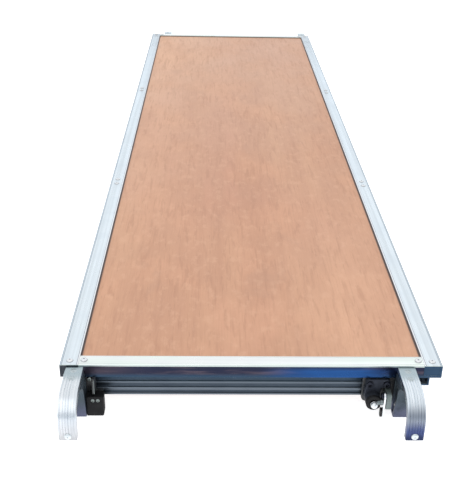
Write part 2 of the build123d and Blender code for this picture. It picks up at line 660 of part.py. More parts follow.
def buffer_block():
    """Rubber block beside the outer hook's leg that the next deck's hook tip lands against."""
    with BuildPart() as block:
        with BuildSketch(front_plane(PLATE_FRONT)):
            rect(leg_side("outer")[1] + BUFFER_GAP, -HALF_WIDTH + BUFFER_END, BUFFER_TOP, BUFFER_BOTTOM)
        extrude(amount=BUFFER_FRONT - PLATE_FRONT)
        fillet(block.edges().filter_by(Axis.Y).group_by(Axis.X)[-1], BUFFER_SIDE_ROUND)
        fillet(block.faces().sort_by(Axis.Y)[0].edges(), BUFFER_FRONT_ROUND)
        for radius, depth in (
            (BUFFER_SCREW_RADIUS, BUFFER_FRONT - PLATE_FRONT),
            (BUFFER_SCREW_HEAD, BUFFER_SCREW_SINK),
        ):
            with BuildSketch(front_plane(BUFFER_FRONT)):
                with Locations(*[(x, -BUFFER_SCREW_DEPTH) for x in BUFFER_SCREW_X]):
                    Circle(radius + BUFFER_SCREW_PLAY)
            extrude(amount=-depth, mode=Mode.SUBTRACT)
    save_both_ends(block.part, "buffer_block")


def buffer_screws():
    """Two screws through the buffer into the plate's foot, their heads flush with the buffer's front."""
    seat = BUFFER_FRONT - BUFFER_SCREW_SINK
    with BuildPart() as screws:
        for radius, back, front in (
            (BUFFER_SCREW_RADIUS, PLATE_BACK, seat),
            (BUFFER_SCREW_HEAD, seat, BUFFER_FRONT),
        ):
            with BuildSketch(front_plane(back)):
                with Locations(*[(x, -BUFFER_SCREW_DEPTH) for x in BUFFER_SCREW_X]):
                    Circle(radius)
            extrude(amount=front - back)
        chamfer(screws.edges().group_by(Axis.Y)[0], HEAD_EDGE)
    save_both_ends(screws.part, "buffer_screws")


def lock_housing():
    """Cast block on the inner hook plate, with the plunger's barrel through it.
    The barrel is slotted on its outboard side, open at the front, for the cross pin's bush."""
    slot_back = PIN_AHEAD - PLUNGER_TRAVEL - BUSH_RADIUS - SLOT_PLAY
    with BuildPart() as housing:
        with BuildSketch(front_plane(PLATE_FRONT)) as block:
            rect(BLOCK_X[0], BLOCK_X[1], BLOCK_TOP, BLOCK_BOTTOM)
            fillet(block.vertices().group_by(Axis.Y)[-1], BLOCK_CORNER)
            rect(LOCK_X - BARREL_RADIUS, LOCK_X + BARREL_RADIUS, BLOCK_TOP + BLOCK_CORNER, LOCK_BELOW)
        extrude(amount=BLOCK_FRONT - PLATE_FRONT)
        with BuildSketch(front_plane(PLATE_BACK)):
            with Locations((LOCK_X, -LOCK_BELOW)):
                Circle(BARREL_RADIUS)
        extrude(amount=BARREL_FRONT - COLLAR_LENGTH - PLATE_BACK)
        with BuildSketch(front_plane(PLATE_BACK)):
            with Locations((LOCK_X, -LOCK_BELOW)):
                Circle(BARREL_RADIUS - COLLAR_WALL)
        extrude(amount=BARREL_FRONT - PLATE_BACK)
        with BuildSketch(front_plane(PLATE_BACK)):
            with Locations((LOCK_X, -LOCK_BELOW)):
                Circle(BORE_RADIUS)
        extrude(amount=BARREL_FRONT - PLATE_BACK, mode=Mode.SUBTRACT)
        with BuildSketch(front_plane(slot_back)):
            slot_opening()
        extrude(amount=BARREL_FRONT - slot_back, mode=Mode.SUBTRACT)
        with BuildSketch(front_plane(PLATE_FRONT)):
            with Locations(*[(x, -BLOCK_SCREW_DEPTH) for x in BLOCK_SCREW_X]):
                Circle(SCREW_RADIUS)
        extrude(amount=BLOCK_FRONT - PLATE_FRONT, mode=Mode.SUBTRACT)
    save_both_ends(housing.part, "lock_housing")


def slot_opening():
    """The barrel's slot seen from the front, from its axis outwards."""
    half = BUSH_RADIUS + SLOT_PLAY
    with Locations((LOCK_X + BARREL_RADIUS, -LOCK_BELOW)):
        Rectangle(2 * BARREL_RADIUS, 2 * half)


def lock_collar():
    """Rubber wiper round the barrel's mouth, open on the side of the slot."""
    with BuildPart() as collar:
        with BuildSketch(front_plane(BARREL_FRONT - COLLAR_LENGTH)):
            with Locations((LOCK_X, -LOCK_BELOW)):
                Circle(BARREL_RADIUS)
                Circle(BARREL_RADIUS - COLLAR_WALL, mode=Mode.SUBTRACT)
        extrude(amount=COLLAR_LENGTH)
        with BuildSketch(front_plane(BARREL_FRONT)):
            with Locations((LOCK_X, -LOCK_BELOW)):
                Circle(BARREL_RADIUS)
                Circle(PLUNGER_RADIUS + COLLAR_PLAY, mode=Mode.SUBTRACT)
        extrude(amount=COLLAR_LIP)
        front_rim = collar.faces().sort_by(Axis.Y)[0].edges().sort_by(SortBy.LENGTH)[-1]
        fillet(front_rim, COLLAR_ROUND)
        with BuildSketch(front_plane(BARREL_FRONT - COLLAR_LENGTH)):
            slot_opening()
        extrude(amount=COLLAR_LENGTH + COLLAR_LIP, mode=Mode.SUBTRACT)
    save_both_ends(collar.part, "lock_collar")


def lock_plunger():
    """Steel plunger with a domed nose, crossed by the release pin."""
    with BuildPart() as plunger:
        with BuildSketch(front_plane(PLUNGER_TAIL)):
            with Locations((LOCK_X, -LOCK_BELOW)):
                Circle(PLUNGER_RADIUS)
        extrude(amount=PLUNGER_TIP - PLUNGER_TAIL)
        nose_rim = plunger.faces().sort_by(Axis.Y)[0].edges()
        fillet(nose_rim, PLUNGER_RADIUS - NOSE_FLAT)
        tail_rim = plunger.faces().sort_by(Axis.Y)[-1].edges()
        chamfer(tail_rim, PLUNGER_CHAMFER)
        with BuildSketch(side_plane(LOCK_X + PLUNGER_RADIUS)):
            with Locations((PIN_AHEAD, -LOCK_BELOW)):
                Circle(PIN_RADIUS)
        extrude(amount=2 * PLUNGER_RADIUS, mode=Mode.SUBTRACT)
    save_both_ends(plunger.part, "lock_plunger")


def cross_pin():
    """Release pin through the plunger and the lever's slot, into the guide lug's slot."""
    with BuildPart() as pin:
        with BuildSketch(side_plane(PIN_END)):
            with Locations((PIN_AHEAD, -LOCK_BELOW)):
                Circle(PIN_RADIUS)
        extrude(amount=PIN_END - LOCK_X + PIN_INNER_REACH)
        chamfer(pin.edges().group_by(Axis.X)[-1], PIN_CHAMFER)
    save_both_ends(pin.part, "lock_cross_pin")

    with BuildPart() as bush:
        with BuildSketch(side_plane(LEVER_X - BUSH_GAP)):
            with Locations((PIN_AHEAD, -LOCK_BELOW)):
                Circle(BUSH_RADIUS)
                Circle(PIN_RADIUS, mode=Mode.SUBTRACT)
        extrude(amount=LEVER_X - BUSH_GAP - LOCK_X - PLUNGER_RADIUS - BUSH_INNER_GAP)
        chamfer(bush.edges().filter_by(GeomType.CIRCLE).group_by(SortBy.RADIUS)[-1], PIN_CHAMFER)
    save_both_ends(bush.part, "cross_pin_bush")


def lever_outline(top_half, tail_half, tail):
    """Lever seen from the side: round about its pivot, tapering to its round tail."""
    with BuildSketch() as outline:
        with Locations((PIN_AHEAD, -PIVOT_BELOW)):
            Circle(top_half)
        with BuildLine():
            Polyline(
                (PIN_AHEAD - top_half, -PIVOT_BELOW), (PIN_AHEAD + top_half, -PIVOT_BELOW),
                (PIN_AHEAD + tail_half, -tail + tail_half), (PIN_AHEAD - tail_half, -tail + tail_half),
                close=True,
            )
        make_face()
        with Locations((PIN_AHEAD, -tail + tail_half)):
            Circle(tail_half)
    return outline.sketch


def lock_lever():
    """Slotted lever that draws the plunger back, and the thumb pad on its tail's inboard face."""
    slot_reach = PIN_RADIUS + LEVER_SLOT_PLAY
    arm_end = (LOCK_BELOW - PIVOT_BELOW) / cos(radians(LEVER_SWING)) + PIVOT_BELOW
    tail_half = LEVER_HALF - LEVER_TAPER
    plate = lever_outline(LEVER_HALF, tail_half, LEVER_TAIL)
    with BuildPart() as lever:
        with BuildSketch(side_plane(LEVER_X + LEVER_THICKNESS)):
            add(plate)
            with Locations((PIN_AHEAD, -PIVOT_BELOW)):
                Circle(PIVOT_RADIUS + RUNNING_FIT, mode=Mode.SUBTRACT)
            with Locations((PIN_AHEAD, -(LOCK_BELOW + arm_end) / 2)):
                SlotOverall(arm_end - LOCK_BELOW + 2 * slot_reach, 2 * slot_reach, rotation=90,
                            mode=Mode.SUBTRACT)
        extrude(amount=LEVER_THICKNESS)
    save_both_ends(lever.part, "lock_lever")

    with BuildPart() as grip:
        with BuildSketch(side_plane(LEVER_X)):
            add(plate)
            rect(PIN_AHEAD - 2 * LEVER_HALF, PIN_AHEAD + 2 * LEVER_HALF, 0, GRIP_TOP, Mode.SUBTRACT)
        extrude(amount=GRIP_THICKNESS)
        fillet(grip.faces().sort_by(Axis.X)[0].edges(), GRIP_ROUND)
    save_both_ends(grip.part, "lever_grip")


def lever_pivot():
    """Shoulder screw that the lever turns on, from its inboard side into the guide lug."""
    with BuildPart() as pivot:
        with BuildSketch(side_plane(LEVER_X - PIVOT_GAP)):
            with Locations((PIN_AHEAD, -PIVOT_BELOW)):
                Circle(PIVOT_HEAD)
        extrude(amount=PIVOT_HEAD_HEIGHT)
        chamfer(pivot.edges().group_by(Axis.X)[0], PIVOT_EDGE)
        with BuildSketch(side_plane(LUG_END)):
            with Locations((PIN_AHEAD, -PIVOT_BELOW)):
                Circle(PIVOT_RADIUS)
        extrude(amount=LUG_END - LEVER_X + PIVOT_GAP)
    save_both_ends(pivot.part, "lever_pivot_screw")


def guide_lug():
    """Block outboard of the lever: it takes the pivot screw and guides the cross pin's end."""
    half = PIN_RADIUS + RUNNING_FIT
    with BuildPart() as lug:
        with BuildSketch(side_plane(LUG_END)) as side:
            rect(PLATE_FRONT, LUG_FRONT, LUG_TOP, LUG_BOTTOM)
            fillet(side.vertices().group_by(Axis.X)[-1], LUG_CORNER)
            with Locations((PIN_AHEAD, -PIVOT_BELOW)):
                Circle(PIVOT_RADIUS, mode=Mode.SUBTRACT)
        extrude(amount=LUG_END - LUG_X)
        with BuildSketch(side_plane(PIN_END + PIN_END_PLAY)):
            with Locations((PIN_AHEAD - PLUNGER_TRAVEL / 2, -LOCK_BELOW)):
                SlotOverall(PLUNGER_TRAVEL + 2 * half, 2 * half)
        extrude(amount=PIN_END + PIN_END_PLAY - LUG_X, mode=Mode.SUBTRACT)
        with BuildSketch(front_plane(PLATE_FRONT)):
            with Locations(*[(LUG_SCREW_X, -depth) for depth in LUG_SCREW_DEPTHS]):
                Circle(LUG_SCREW_RADIUS)
        extrude(amount=LUG_SCREW_REACH, mode=Mode.SUBTRACT)
    save_both_ends(lug.part, "lock_guide_lug")


def lock_screws():
    """Two screws through the housing block, plate and beam, and the lug's two from behind."""
    screw = cap_screw(BLOCK_FRONT - PLATE_BACK + 2 * BEAM_WALL, SCREW_HEAD)
    face = front_plane(BLOCK_FRONT)
    with BuildPart() as screws:
        with Locations(*[face * Location((x, -BLOCK_SCREW_DEPTH, 0)) for x in BLOCK_SCREW_X]):
            add(screw)
        with BuildSketch(front_plane(PLATE_BACK)):
            with Locations(*[(LUG_SCREW_X, -depth) for depth in LUG_SCREW_DEPTHS]):
                Circle(LUG_SCREW_RADIUS)
        extrude(amount=PLATE_FRONT - PLATE_BACK + LUG_SCREW_REACH)
    save_both_ends(screws.part, "lock_screws")


def lock_spring():
    """Coil spring behind the plunger, and the plug that closes the barrel behind it."""
    back = PLATE_BACK + PLUG_LENGTH
    length = PLUNGER_TAIL - back - 2 * (SPRING_WIRE + RUNNING_FIT)
    start = (LOCK_X, -HALF_LENGTH - back - SPRING_WIRE - RUNNING_FIT, DECK_HEIGHT - LOCK_BELOW)
    with BuildPart() as spring:
        with BuildLine() as coil:
            Helix(length / SPRING_TURNS, length, SPRING_RADIUS, center=start, direction=(0, -1, 0))
        with BuildSketch(Plane(origin=coil.line @ 0, z_dir=coil.line % 0)):
            Circle(SPRING_WIRE)
        sweep()
    save_both_ends(spring.part, "lock_spring")

    with BuildPart() as plug:
        with BuildSketch(front_plane(PLATE_BACK)):
            with Locations((LOCK_X, -LOCK_BELOW)):
                Circle(BORE_RADIUS)
        extrude(amount=PLUG_LENGTH)
    save_both_ends(plug.part, "lock_end_plug")


def main():
    plywood_deck()
    side_rail("right_side_rail", 1)
    side_rail("left_side_rail", -1)
    end_trim()
    end_beam()
    cross_members()
    bearing_strips()
    rail_end_caps()
    cleats()
    frame_rivets()
    for kind in ("outer", "inner"):
        hook_strap(kind)
        hook_leg(kind)
    hook_rivets()
    hook_bolts()
    plate_screws()
    outer_hook_plate()
    inner_hook_plate()
    buffer_block()
    buffer_screws()
    lock_housing()
    lock_collar()
    lock_plunger()
    cross_pin()
    lock_lever()
    lever_pivot()
    guide_lug()
    lock_screws()
    lock_spring()


main()
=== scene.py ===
import json
from math import acos, asin, cos, degrees, pi, radians, sin, tan
from types import SimpleNamespace

import bmesh
import bpy
from mathutils import Matrix, Vector


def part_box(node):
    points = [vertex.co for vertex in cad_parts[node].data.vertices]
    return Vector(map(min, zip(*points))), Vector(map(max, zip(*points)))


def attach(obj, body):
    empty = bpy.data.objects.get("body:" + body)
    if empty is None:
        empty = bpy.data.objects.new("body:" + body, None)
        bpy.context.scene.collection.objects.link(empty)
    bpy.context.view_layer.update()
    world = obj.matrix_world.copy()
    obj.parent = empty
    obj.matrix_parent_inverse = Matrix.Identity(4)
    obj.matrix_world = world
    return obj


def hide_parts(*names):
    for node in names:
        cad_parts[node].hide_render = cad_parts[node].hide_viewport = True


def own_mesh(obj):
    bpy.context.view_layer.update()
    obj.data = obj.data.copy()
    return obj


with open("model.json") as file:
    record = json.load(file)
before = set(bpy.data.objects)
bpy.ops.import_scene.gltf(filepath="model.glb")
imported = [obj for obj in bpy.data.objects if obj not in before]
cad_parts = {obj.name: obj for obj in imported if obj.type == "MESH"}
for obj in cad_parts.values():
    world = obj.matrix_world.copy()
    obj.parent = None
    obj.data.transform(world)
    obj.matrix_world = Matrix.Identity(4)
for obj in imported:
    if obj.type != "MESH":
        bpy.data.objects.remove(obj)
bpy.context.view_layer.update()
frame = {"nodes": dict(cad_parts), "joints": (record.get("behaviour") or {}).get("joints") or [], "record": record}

# ---- the frame's own sizes ----
# Lengths below are millimetres. "Ahead" is forward of the near end face, towards -Y, and "below" is
# down from the deck's top. Every piece of the near end has a twin at the far end, half a turn round.
MM = 0.001
FORWARD, UP = (0, -1, 0), (0, 0, 1)
HALF_TURN = Matrix.Rotation(pi, 4, "Z")
RIGHT_RAIL_LOW, RIGHT_RAIL_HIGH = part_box("right_side_rail")
END_Y, TOP_Z = RIGHT_RAIL_LOW.y, RIGHT_RAIL_HIGH.z


def extent_of(low, high):
    """A box as millimetres: X limits, ahead limits, depths below the deck's top, middles and sizes."""
    x0, x1 = low.x / MM, high.x / MM
    back, front = (END_Y - high.y) / MM, (END_Y - low.y) / MM
    top, bottom = (TOP_Z - high.z) / MM, (TOP_Z - low.z) / MM
    return SimpleNamespace(
        x0=x0, x1=x1, back=back, front=front, top=top, bottom=bottom,
        x=(low.x + high.x) / 2 / MM, ahead=(END_Y - (low.y + high.y) / 2) / MM,
        below=(TOP_Z - (low.z + high.z) / 2) / MM,
        wide=x1 - x0, long=front - back, tall=bottom - top,
    )


def extent(node):
    return extent_of(*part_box(node))


def near(node):
    """The extent of a near end's node."""
    return extent(f"near_{node}")


def solids(node):
    """The extents of a CAD node's separate solids."""
    bm = bmesh.new()
    bm.from_mesh(frame["nodes"][node].data)
    bmesh.ops.remove_doubles(bm, verts=bm.verts, dist=1e-7)
    left, found = set(bm.verts), []
    while left:
        spots, edge = [], [left.pop()]
        while edge:
            vert = edge.pop()
            spots.append(vert.co)
            fresh = {e.other_vert(vert) for e in vert.link_edges} & left
            left -= fresh
            edge.extend(fresh)
        found.append(extent_of(*(Vector(map(pick, zip(*spots))) for pick in (min, max))))
    bm.free()
    return sorted(found, key=lambda e: (round(e.x), round(e.ahead), round(e.below)))


MOUNTS = {mount["name"]: mount for mount in frame["record"]["mounts"]}
JOINTS = {joint["name"]: joint for joint in frame["joints"]}
TUBE_POINT = Vector(MOUNTS["near_inner_hook"]["pos_m"])
TUBE_AHEAD, TUBE_BELOW = (END_Y - TUBE_POINT.y) / MM, (TOP_Z - TUBE_POINT.z) / MM
SEAT_RADIUS = MOUNTS["near_inner_hook"]["dims"]["r_mm"]


# ---- drawing planes and outlines ----
def plane(origin, across, up):
    across, up = Vector(across), Vector(up)
    matrix = Matrix((across, up, across.cross(up))).transposed().to_4x4()
    matrix.translation = origin
    return matrix


def side_plane(x):
    """Drawn in (ahead, -below); depth goes towards -X."""
    return plane((x * MM, END_Y, TOP_Z), FORWARD, UP)


def front_plane(ahead):
    """Drawn in (X, -below); depth goes forward, towards -Y."""
    return plane((0, END_Y - ahead * MM, TOP_Z), (1, 0, 0), UP)


def point(x, ahead, below):
    return Vector((x * MM, END_Y - ahead * MM, TOP_Z - below * MM))


def arc(x, y, radius, start, end, steps=24):
    """Points along an arc, angles in degrees."""
    turns = [radians(start + (end - start) * i / steps) for i in range(steps + 1)]
    return [(x + radius * cos(t), y + radius * sin(t)) for t in turns]


def rounded(corners):
    """A closed outline from (x, y, radius) corners, each corner turned into an arc."""
    outline, steps = [], 5
    for i, (x, y, radius) in enumerate(corners):
        before, after = Vector(corners[i - 1][:2]), Vector(corners[(i + 1) % len(corners)][:2])
        here = Vector((x, y))
        if radius == 0:
            outline.append((x, y))
            continue
        a, b = (before - here).normalized(), (after - here).normalized()
        half = a.angle(b) / 2
        centre = here + (a + b).normalized() * (radius / sin(half))
        start, end = here + a * (radius / tan(half)) - centre, here + b * (radius / tan(half)) - centre
        turn = start.angle_signed(end)
        for k in range(steps + 1):
            spun = start.copy()
            spun.rotate(Matrix.Rotation(-turn * k / steps, 2))
            outline.append(tuple(centre + spun))
    return outline


def box_outline(x0, x1, low, high, radius=0.0, far=None):
    """A rectangle between two x values and two depths below the deck's top. far: its radius at x1."""
    far = radius if far is None else far
    return rounded([(x0, -low, radius), (x0, -high, radius), (x1, -high, far), (x1, -low, far)])


def signed_area(outline):
    return sum(a[0] * b[1] - b[0] * a[1] for a, b in zip(outline, outline[1:] + outline[:1])) / 2


# ---- solid forms ----
def slab(outlines, matrix, depth, edge=0.3, steps=2):
    """A flat solid with rounded edges. The first outline is its outside, and the others are holes."""
    curve = bpy.data.curves.new("outline", "CURVE")
    curve.dimensions, curve.fill_mode = "2D", "BOTH"
    curve.extrude = (depth / 2 - edge) * MM
    curve.bevel_depth, curve.bevel_resolution, curve.offset = edge * MM, steps, -edge * MM
    for number, outline in enumerate(outlines):
        if (signed_area(outline) > 0) == (number == 0):
            outline = outline[::-1]
        spline = curve.splines.new("POLY")
        spline.points.add(len(outline) - 1)
        for spot, (x, y) in zip(spline.points, outline):
            spot.co = (x * MM, y * MM, 0, 1)
        spline.use_cyclic_u = True
    holder = bpy.data.objects.new("outline", curve)
    mesh = bpy.data.meshes.new_from_object(holder)
    bpy.data.objects.remove(holder)
    mesh.transform(matrix @ Matrix.Translation((0, 0, depth / 2 * MM)))
    return mesh


def skin(rings, closed=False):
    """A solid over rings of points, with its two ends filled. A ring may be one point. closed joins the
    last ring to the first, and fills nothing."""
    bm = bmesh.new()
    rows = [[bm.verts.new(spot) for spot in ring] for ring in rings]
    for low, high in zip(rows, rows[1:] + (rows[:1] if closed else [])):
        for k in range(max(len(low), len(high))):
            corners = [low[k % len(low)], low[(k + 1) % len(low)],
                       high[(k + 1) % len(high)], high[k % len(high)]]
            corners = [v for i, v in enumerate(corners) if v not in corners[:i]]
            if len(corners) > 2:
                bm.faces.new(corners)
    for row in () if closed else (rows[0], rows[-1]):
        if len(row) > 1:
            bm.faces.new(row)
    return to_mesh(bm)


def circle(across, other, segments):
    """Angles round a circle, each with its unit vector."""
    turns = [2 * pi * k / segments for k in range(segments)]
    return [(turn, across * cos(turn) + other * sin(turn)) for turn in turns]


def lathe(rings, origin, axis, segments=40, closed=False):
    """A turned solid. Each ring is (radius, height), and a radius may be a function of the angle."""
    axis = Vector(axis).normalized()
    across = axis.orthogonal().normalized()
    spokes = circle(across, axis.cross(across), segments)
    rows = []
    for radius, height in rings:
        centre = Vector(origin) + axis * (height * MM)
        rows.append([centre] if radius == 0 else [
            centre + (radius(turn) if callable(radius) else radius) * MM * spoke for turn, spoke in spokes])
    return skin(rows, closed)


def tube(path, radius):
    """A round wire along a path of points in metres."""
    rows, sides = [], 12
    for i, spot in enumerate(path):
        along = (path[min(i + 1, len(path) - 1)] - path[max(i - 1, 0)]).normalized()
        across = along.cross(Vector((0, 1, 0))).normalized()
        rows.append([spot + radius * MM * spoke for _, spoke in circle(across, along.cross(across), sides)])
    return skin(rows)


def to_mesh(bm):
    bmesh.ops.recalc_face_normals(bm, faces=bm.faces)
    mesh = bpy.data.meshes.new("form")
    bm.to_mesh(mesh)
    bm.free()
    return mesh


def joined(meshes):
    bm = bmesh.new()
    for mesh in meshes:
        bm.from_mesh(mesh)
        bpy.data.meshes.remove(mesh)
    bmesh.ops.remove_doubles(bm, verts=bm.verts, dist=1e-8)
    return to_mesh(bm)


def added(name, data):
    """A new object in the scene."""
    made = bpy.data.objects.new(name, data)
    bpy.context.scene.collection.objects.link(made)
    return made


BODY_OF = {node: body for body, nodes in frame["record"]["behaviour"]["bodies"].items() for node in nodes}
SLOT_OF = {part["node"]: part["material_slot"] for part in frame["record"]["subparts"]}


def give(mesh, material):
    mesh.materials.clear()
    mesh.materials.append(material)


def place(name, mesh, material, *nodes):
    """One finished piece that stands for CAD nodes, and has their body."""
    body, slot = BODY_OF[nodes[0]], SLOT_OF[nodes[0]]
    mesh.name = name
    give(mesh, material)
    mesh.shade_smooth()
    mesh.set_sharp_from_angle(angle=radians(40))
    piece = added(name, mesh)
    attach(piece, body)
    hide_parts(*nodes)
    return piece


def both_ends(name, forms, material, node):
    """The near end's piece and its twin, each in place of its own end's node."""
    here = joined(forms)
    there = here.copy()
    there.transform(HALF_TURN)
    return [place(f"{end}_{name}", mesh, material, f"{end}_{node}")
            for end, mesh in (("near", here), ("far", there))]


# ---- materials ----
class Finish:
    """A material being written: short names for the nodes that it is made of."""

    def __init__(self, name, roughness, metallic=0.0, **sockets):
        self.material = bpy.data.materials.new(name)
        self.material.use_nodes = True
        self.tree = self.material.node_tree
        self.shader = self.tree.nodes["Principled BSDF"]
        self.set("Roughness", roughness)
        self.set("Metallic", metallic)
        for socket, value in sockets.items():
            self.set(socket.replace("_", " "), value)
        self.place = self.tree.nodes.new("ShaderNodeTexCoord").outputs["Object"]
        self.normal = self.tree.nodes.new("ShaderNodeNewGeometry").outputs["Normal"]

    def fill(self, target, value):
        """A node's output is linked to the socket, and anything else is its value. One number is a grey."""
        if isinstance(value, bpy.types.NodeSocket):
            self.tree.links.new(value, target)
        elif target.type == "RGBA":
            target.default_value = (*value, 1.0) if isinstance(value, tuple) else (value, value, value, 1.0)
        else:
            target.default_value = value

    def set(self, socket, value):
        self.fill(self.shader.inputs[socket], value)

    def node(self, kind, inputs, output=0, **settings):
        made = self.tree.nodes.new(kind)
        for name, value in settings.items():
            setattr(made, name, value)
        for key, value in inputs.items():
            self.fill(made.inputs[key], value)
        return made.outputs[output]

    def math(self, operation, a, b=0.0):
        return self.node("ShaderNodeMath", {0: a, 1: b}, operation=operation)

    def times(self, a, b):
        return self.math("MULTIPLY", a, b)

    def axis(self, vector, index):
        return self.node("ShaderNodeSeparateXYZ", {0: vector}, index)

    def along(self, index):
        """The place on the piece along X, Y or Z, in metres."""
        return self.axis(self.place, index)

    def away(self, index):
        """The distance from the deck's middle along an axis."""
        return self.math("ABSOLUTE", self.along(index))

    def facing(self, index):
        """How far the surface faces along an axis, either way."""
        return self.math("ABSOLUTE", self.axis(self.normal, index))

    def stretched(self, scale, seed=0.0):
        """The place on the piece, scaled per metre along each axis, and shifted by a seed."""
        scale = scale if isinstance(scale, tuple) else (scale,) * 3
        return self.node("ShaderNodeMapping", {"Vector": self.place, "Scale": scale, "Location": (seed,) * 3})

    def noise(self, scale, detail=3.0, roughness=0.5, distortion=0.0, seed=0.0):
        return self.node("ShaderNodeTexNoise", {
            "Vector": self.stretched(scale, seed), "Scale": 1.0, "Detail": detail,
            "Roughness": roughness, "Distortion": distortion})

    def cells(self, scale, seed=0.0):
        inputs = {"Vector": self.stretched(scale, seed), "Scale": 1.0}
        return self.node("ShaderNodeTexVoronoi", inputs, "Distance")

    def between(self, value, low, high, out_low=0.0, out_high=1.0):
        """value carried smoothly from low..high to out_low..out_high."""
        return self.node("ShaderNodeMapRange", {
            "Value": value, "From Min": low, "From Max": high, "To Min": out_low, "To Max": out_high,
        }, interpolation_type="SMOOTHSTEP")

    def mix(self, factor, a, b, blend="MIX"):
        return self.node("ShaderNodeMix", {0: factor, 6: a, 7: b}, 2, data_type="RGBA", blend_type=blend)

    def over(self, colour, tone, value, low, high, most=1.0):
        """colour, with a tone over it as value goes from low to high, up to a share of most."""
        return self.mix(self.between(value, low, high, 0.0, most), colour, tone)

    def bump(self, height, distance, strength=1.0):
        inputs = {"Height": height, "Distance": distance * MM, "Strength": strength}
        if self.shader.inputs["Normal"].is_linked:
            inputs["Normal"] = self.shader.inputs["Normal"].links[0].from_socket
        self.set("Normal", self.node("ShaderNodeBump", inputs))


def plywood_finish():
    """Rotary-cut face veneer, sealed and walked on: lengthwise fibres, flame figure, blotches, scuffs."""
    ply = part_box("plywood_deck")
    wood = Finish("plywood_veneer", 0.5, Specular_IOR_Level=0.35)
    fibres = wood.noise((620, 14, 200), 4, 0.6, seed=3.1)
    flame = wood.noise((17, 1.1, 5), 3, 0.55, 1.4, seed=8.3)
    rings = wood.math("SINE", wood.times(flame, 62.0))
    blotch = wood.noise((7, 4.5, 5), 3, 0.55, seed=1.7)
    bands = wood.noise((24, 0.5, 5), 2, 0.5, seed=5.9)
    hue = wood.noise((3.5, 1.6, 5), 2, 0.5, seed=12.4)
    colour = wood.over((0.565, 0.287, 0.187), (0.59, 0.325, 0.203), hue, 0.35, 0.65)
    colour = wood.over(colour, (0.51, 0.265, 0.168), bands, 0.38, 0.62, 0.6)
    colour = wood.over(colour, (0.68, 0.375, 0.245), blotch, 0.45, 0.68, 0.55)
    colour = wood.over(colour, (0.48, 0.235, 0.145), rings, 0.1, 1.0, 0.09)
    # painted sheen: lighter toward the far end; also lighter in the near right and far left corners
    colour = wood.over(colour, (0.655, 0.42, 0.30), wood.along(1), -0.45, 0.85, 0.65)
    corners = wood.times(wood.along(0), wood.along(1))
    colour = wood.over(colour, (0.73, 0.43, 0.28), corners, -0.005, -0.12, 0.45)
    left = wood.between(wood.along(0), 0.04, TRIM_EXTENT.x0 * MM, 0.0, 0.3)
    away = wood.between(wood.along(1), -0.75, -0.2)
    colour = wood.mix(wood.times(left, away), colour, (0.76, 0.48, 0.32))
    dapple = wood.between(wood.noise((26, 8, 5), 5, 0.7, 0.3, seed=52.0), 0.36, 0.6, 0.34, 0.0)
    colour = wood.mix(dapple, colour, (0.51, 0.272, 0.175))
    streaks = wood.noise((150, 15, 200), 3, 0.6, 0.6, seed=61.0)
    colour = wood.over(colour, (0.43, 0.215, 0.135), streaks, 0.5, 0.68, 0.36)
    mottle = wood.noise((85, 48, 200), 4, 0.65, seed=73.0)
    colour = wood.over(colour, (0.70, 0.42, 0.28), mottle, 0.5, 0.68, 0.3)
    colour = wood.over(colour, (0.42, 0.20, 0.12), fibres, 0.5, 0.74, 0.26)
    pores = wood.noise((900, 42, 200), 2, 0.5, seed=22.0)
    pore_mask = wood.between(pores, 0.66, 0.74)
    colour = wood.mix(wood.times(pore_mask, 0.3), colour, (0.26, 0.12, 0.07))
    stain = wood.noise((11, 7, 5), 4, 0.62, 0.6, seed=31.0)
    colour = wood.over(colour, (0.45, 0.26, 0.18), stain, 0.62, 0.72, 0.22)
    scuff = wood.between(wood.noise((34, 260, 20), 3, 0.6, 1.2, seed=44.0), 0.68, 0.76, 0.0, 0.25)
    colour = wood.mix(scuff, colour, (0.80, 0.55, 0.42))
    # painted shade along the metal edges, in the crease where the plywood meets the raised flanges
    side = wood.between(wood.away(0), (TRIM_EXTENT.x1 - 3.2) * MM, (TRIM_EXTENT.x1 - 1.0) * MM)
    inner = abs(END_Y) + TRIM_EXTENT.back * MM
    end = wood.between(wood.away(1), inner - 3.5 * MM, inner - 0.8 * MM)
    crease_shade = wood.times(wood.math("MAXIMUM", side, end), 0.9)
    colour = wood.mix(crease_shade, colour, (0.055, 0.05, 0.055))
    # ply layers show on the board's edges only
    layers = wood.math("SINE", wood.times(wood.along(2), 2 * pi / (2.4 * MM)))
    edge_colour = wood.over((0.30, 0.16, 0.09), (0.62, 0.40, 0.25), layers, -0.3, 0.3)
    colour = wood.over(edge_colour, colour, wood.facing(2), 0.3, 0.6)
    # the underside is a darker sealing film
    lower = wood.between(wood.along(2), ply[0].z + 0.5 * MM, ply[0].z + 1.5 * MM)
    wood.set("Base Color", wood.mix(lower, wood.mix(0.6, colour, (0.32, 0.18, 0.11)), colour))
    rough = wood.between(blotch, 0.35, 0.7, 0.46, 0.6)
    wood.set("Roughness", wood.math("ADD", rough, wood.times(scuff, 0.4)))
    wood.bump(fibres, 0.12, 0.5)
    wood.bump(wood.math("SUBTRACT", 1.0, pore_mask), 0.08, 0.5)
    return wood.material


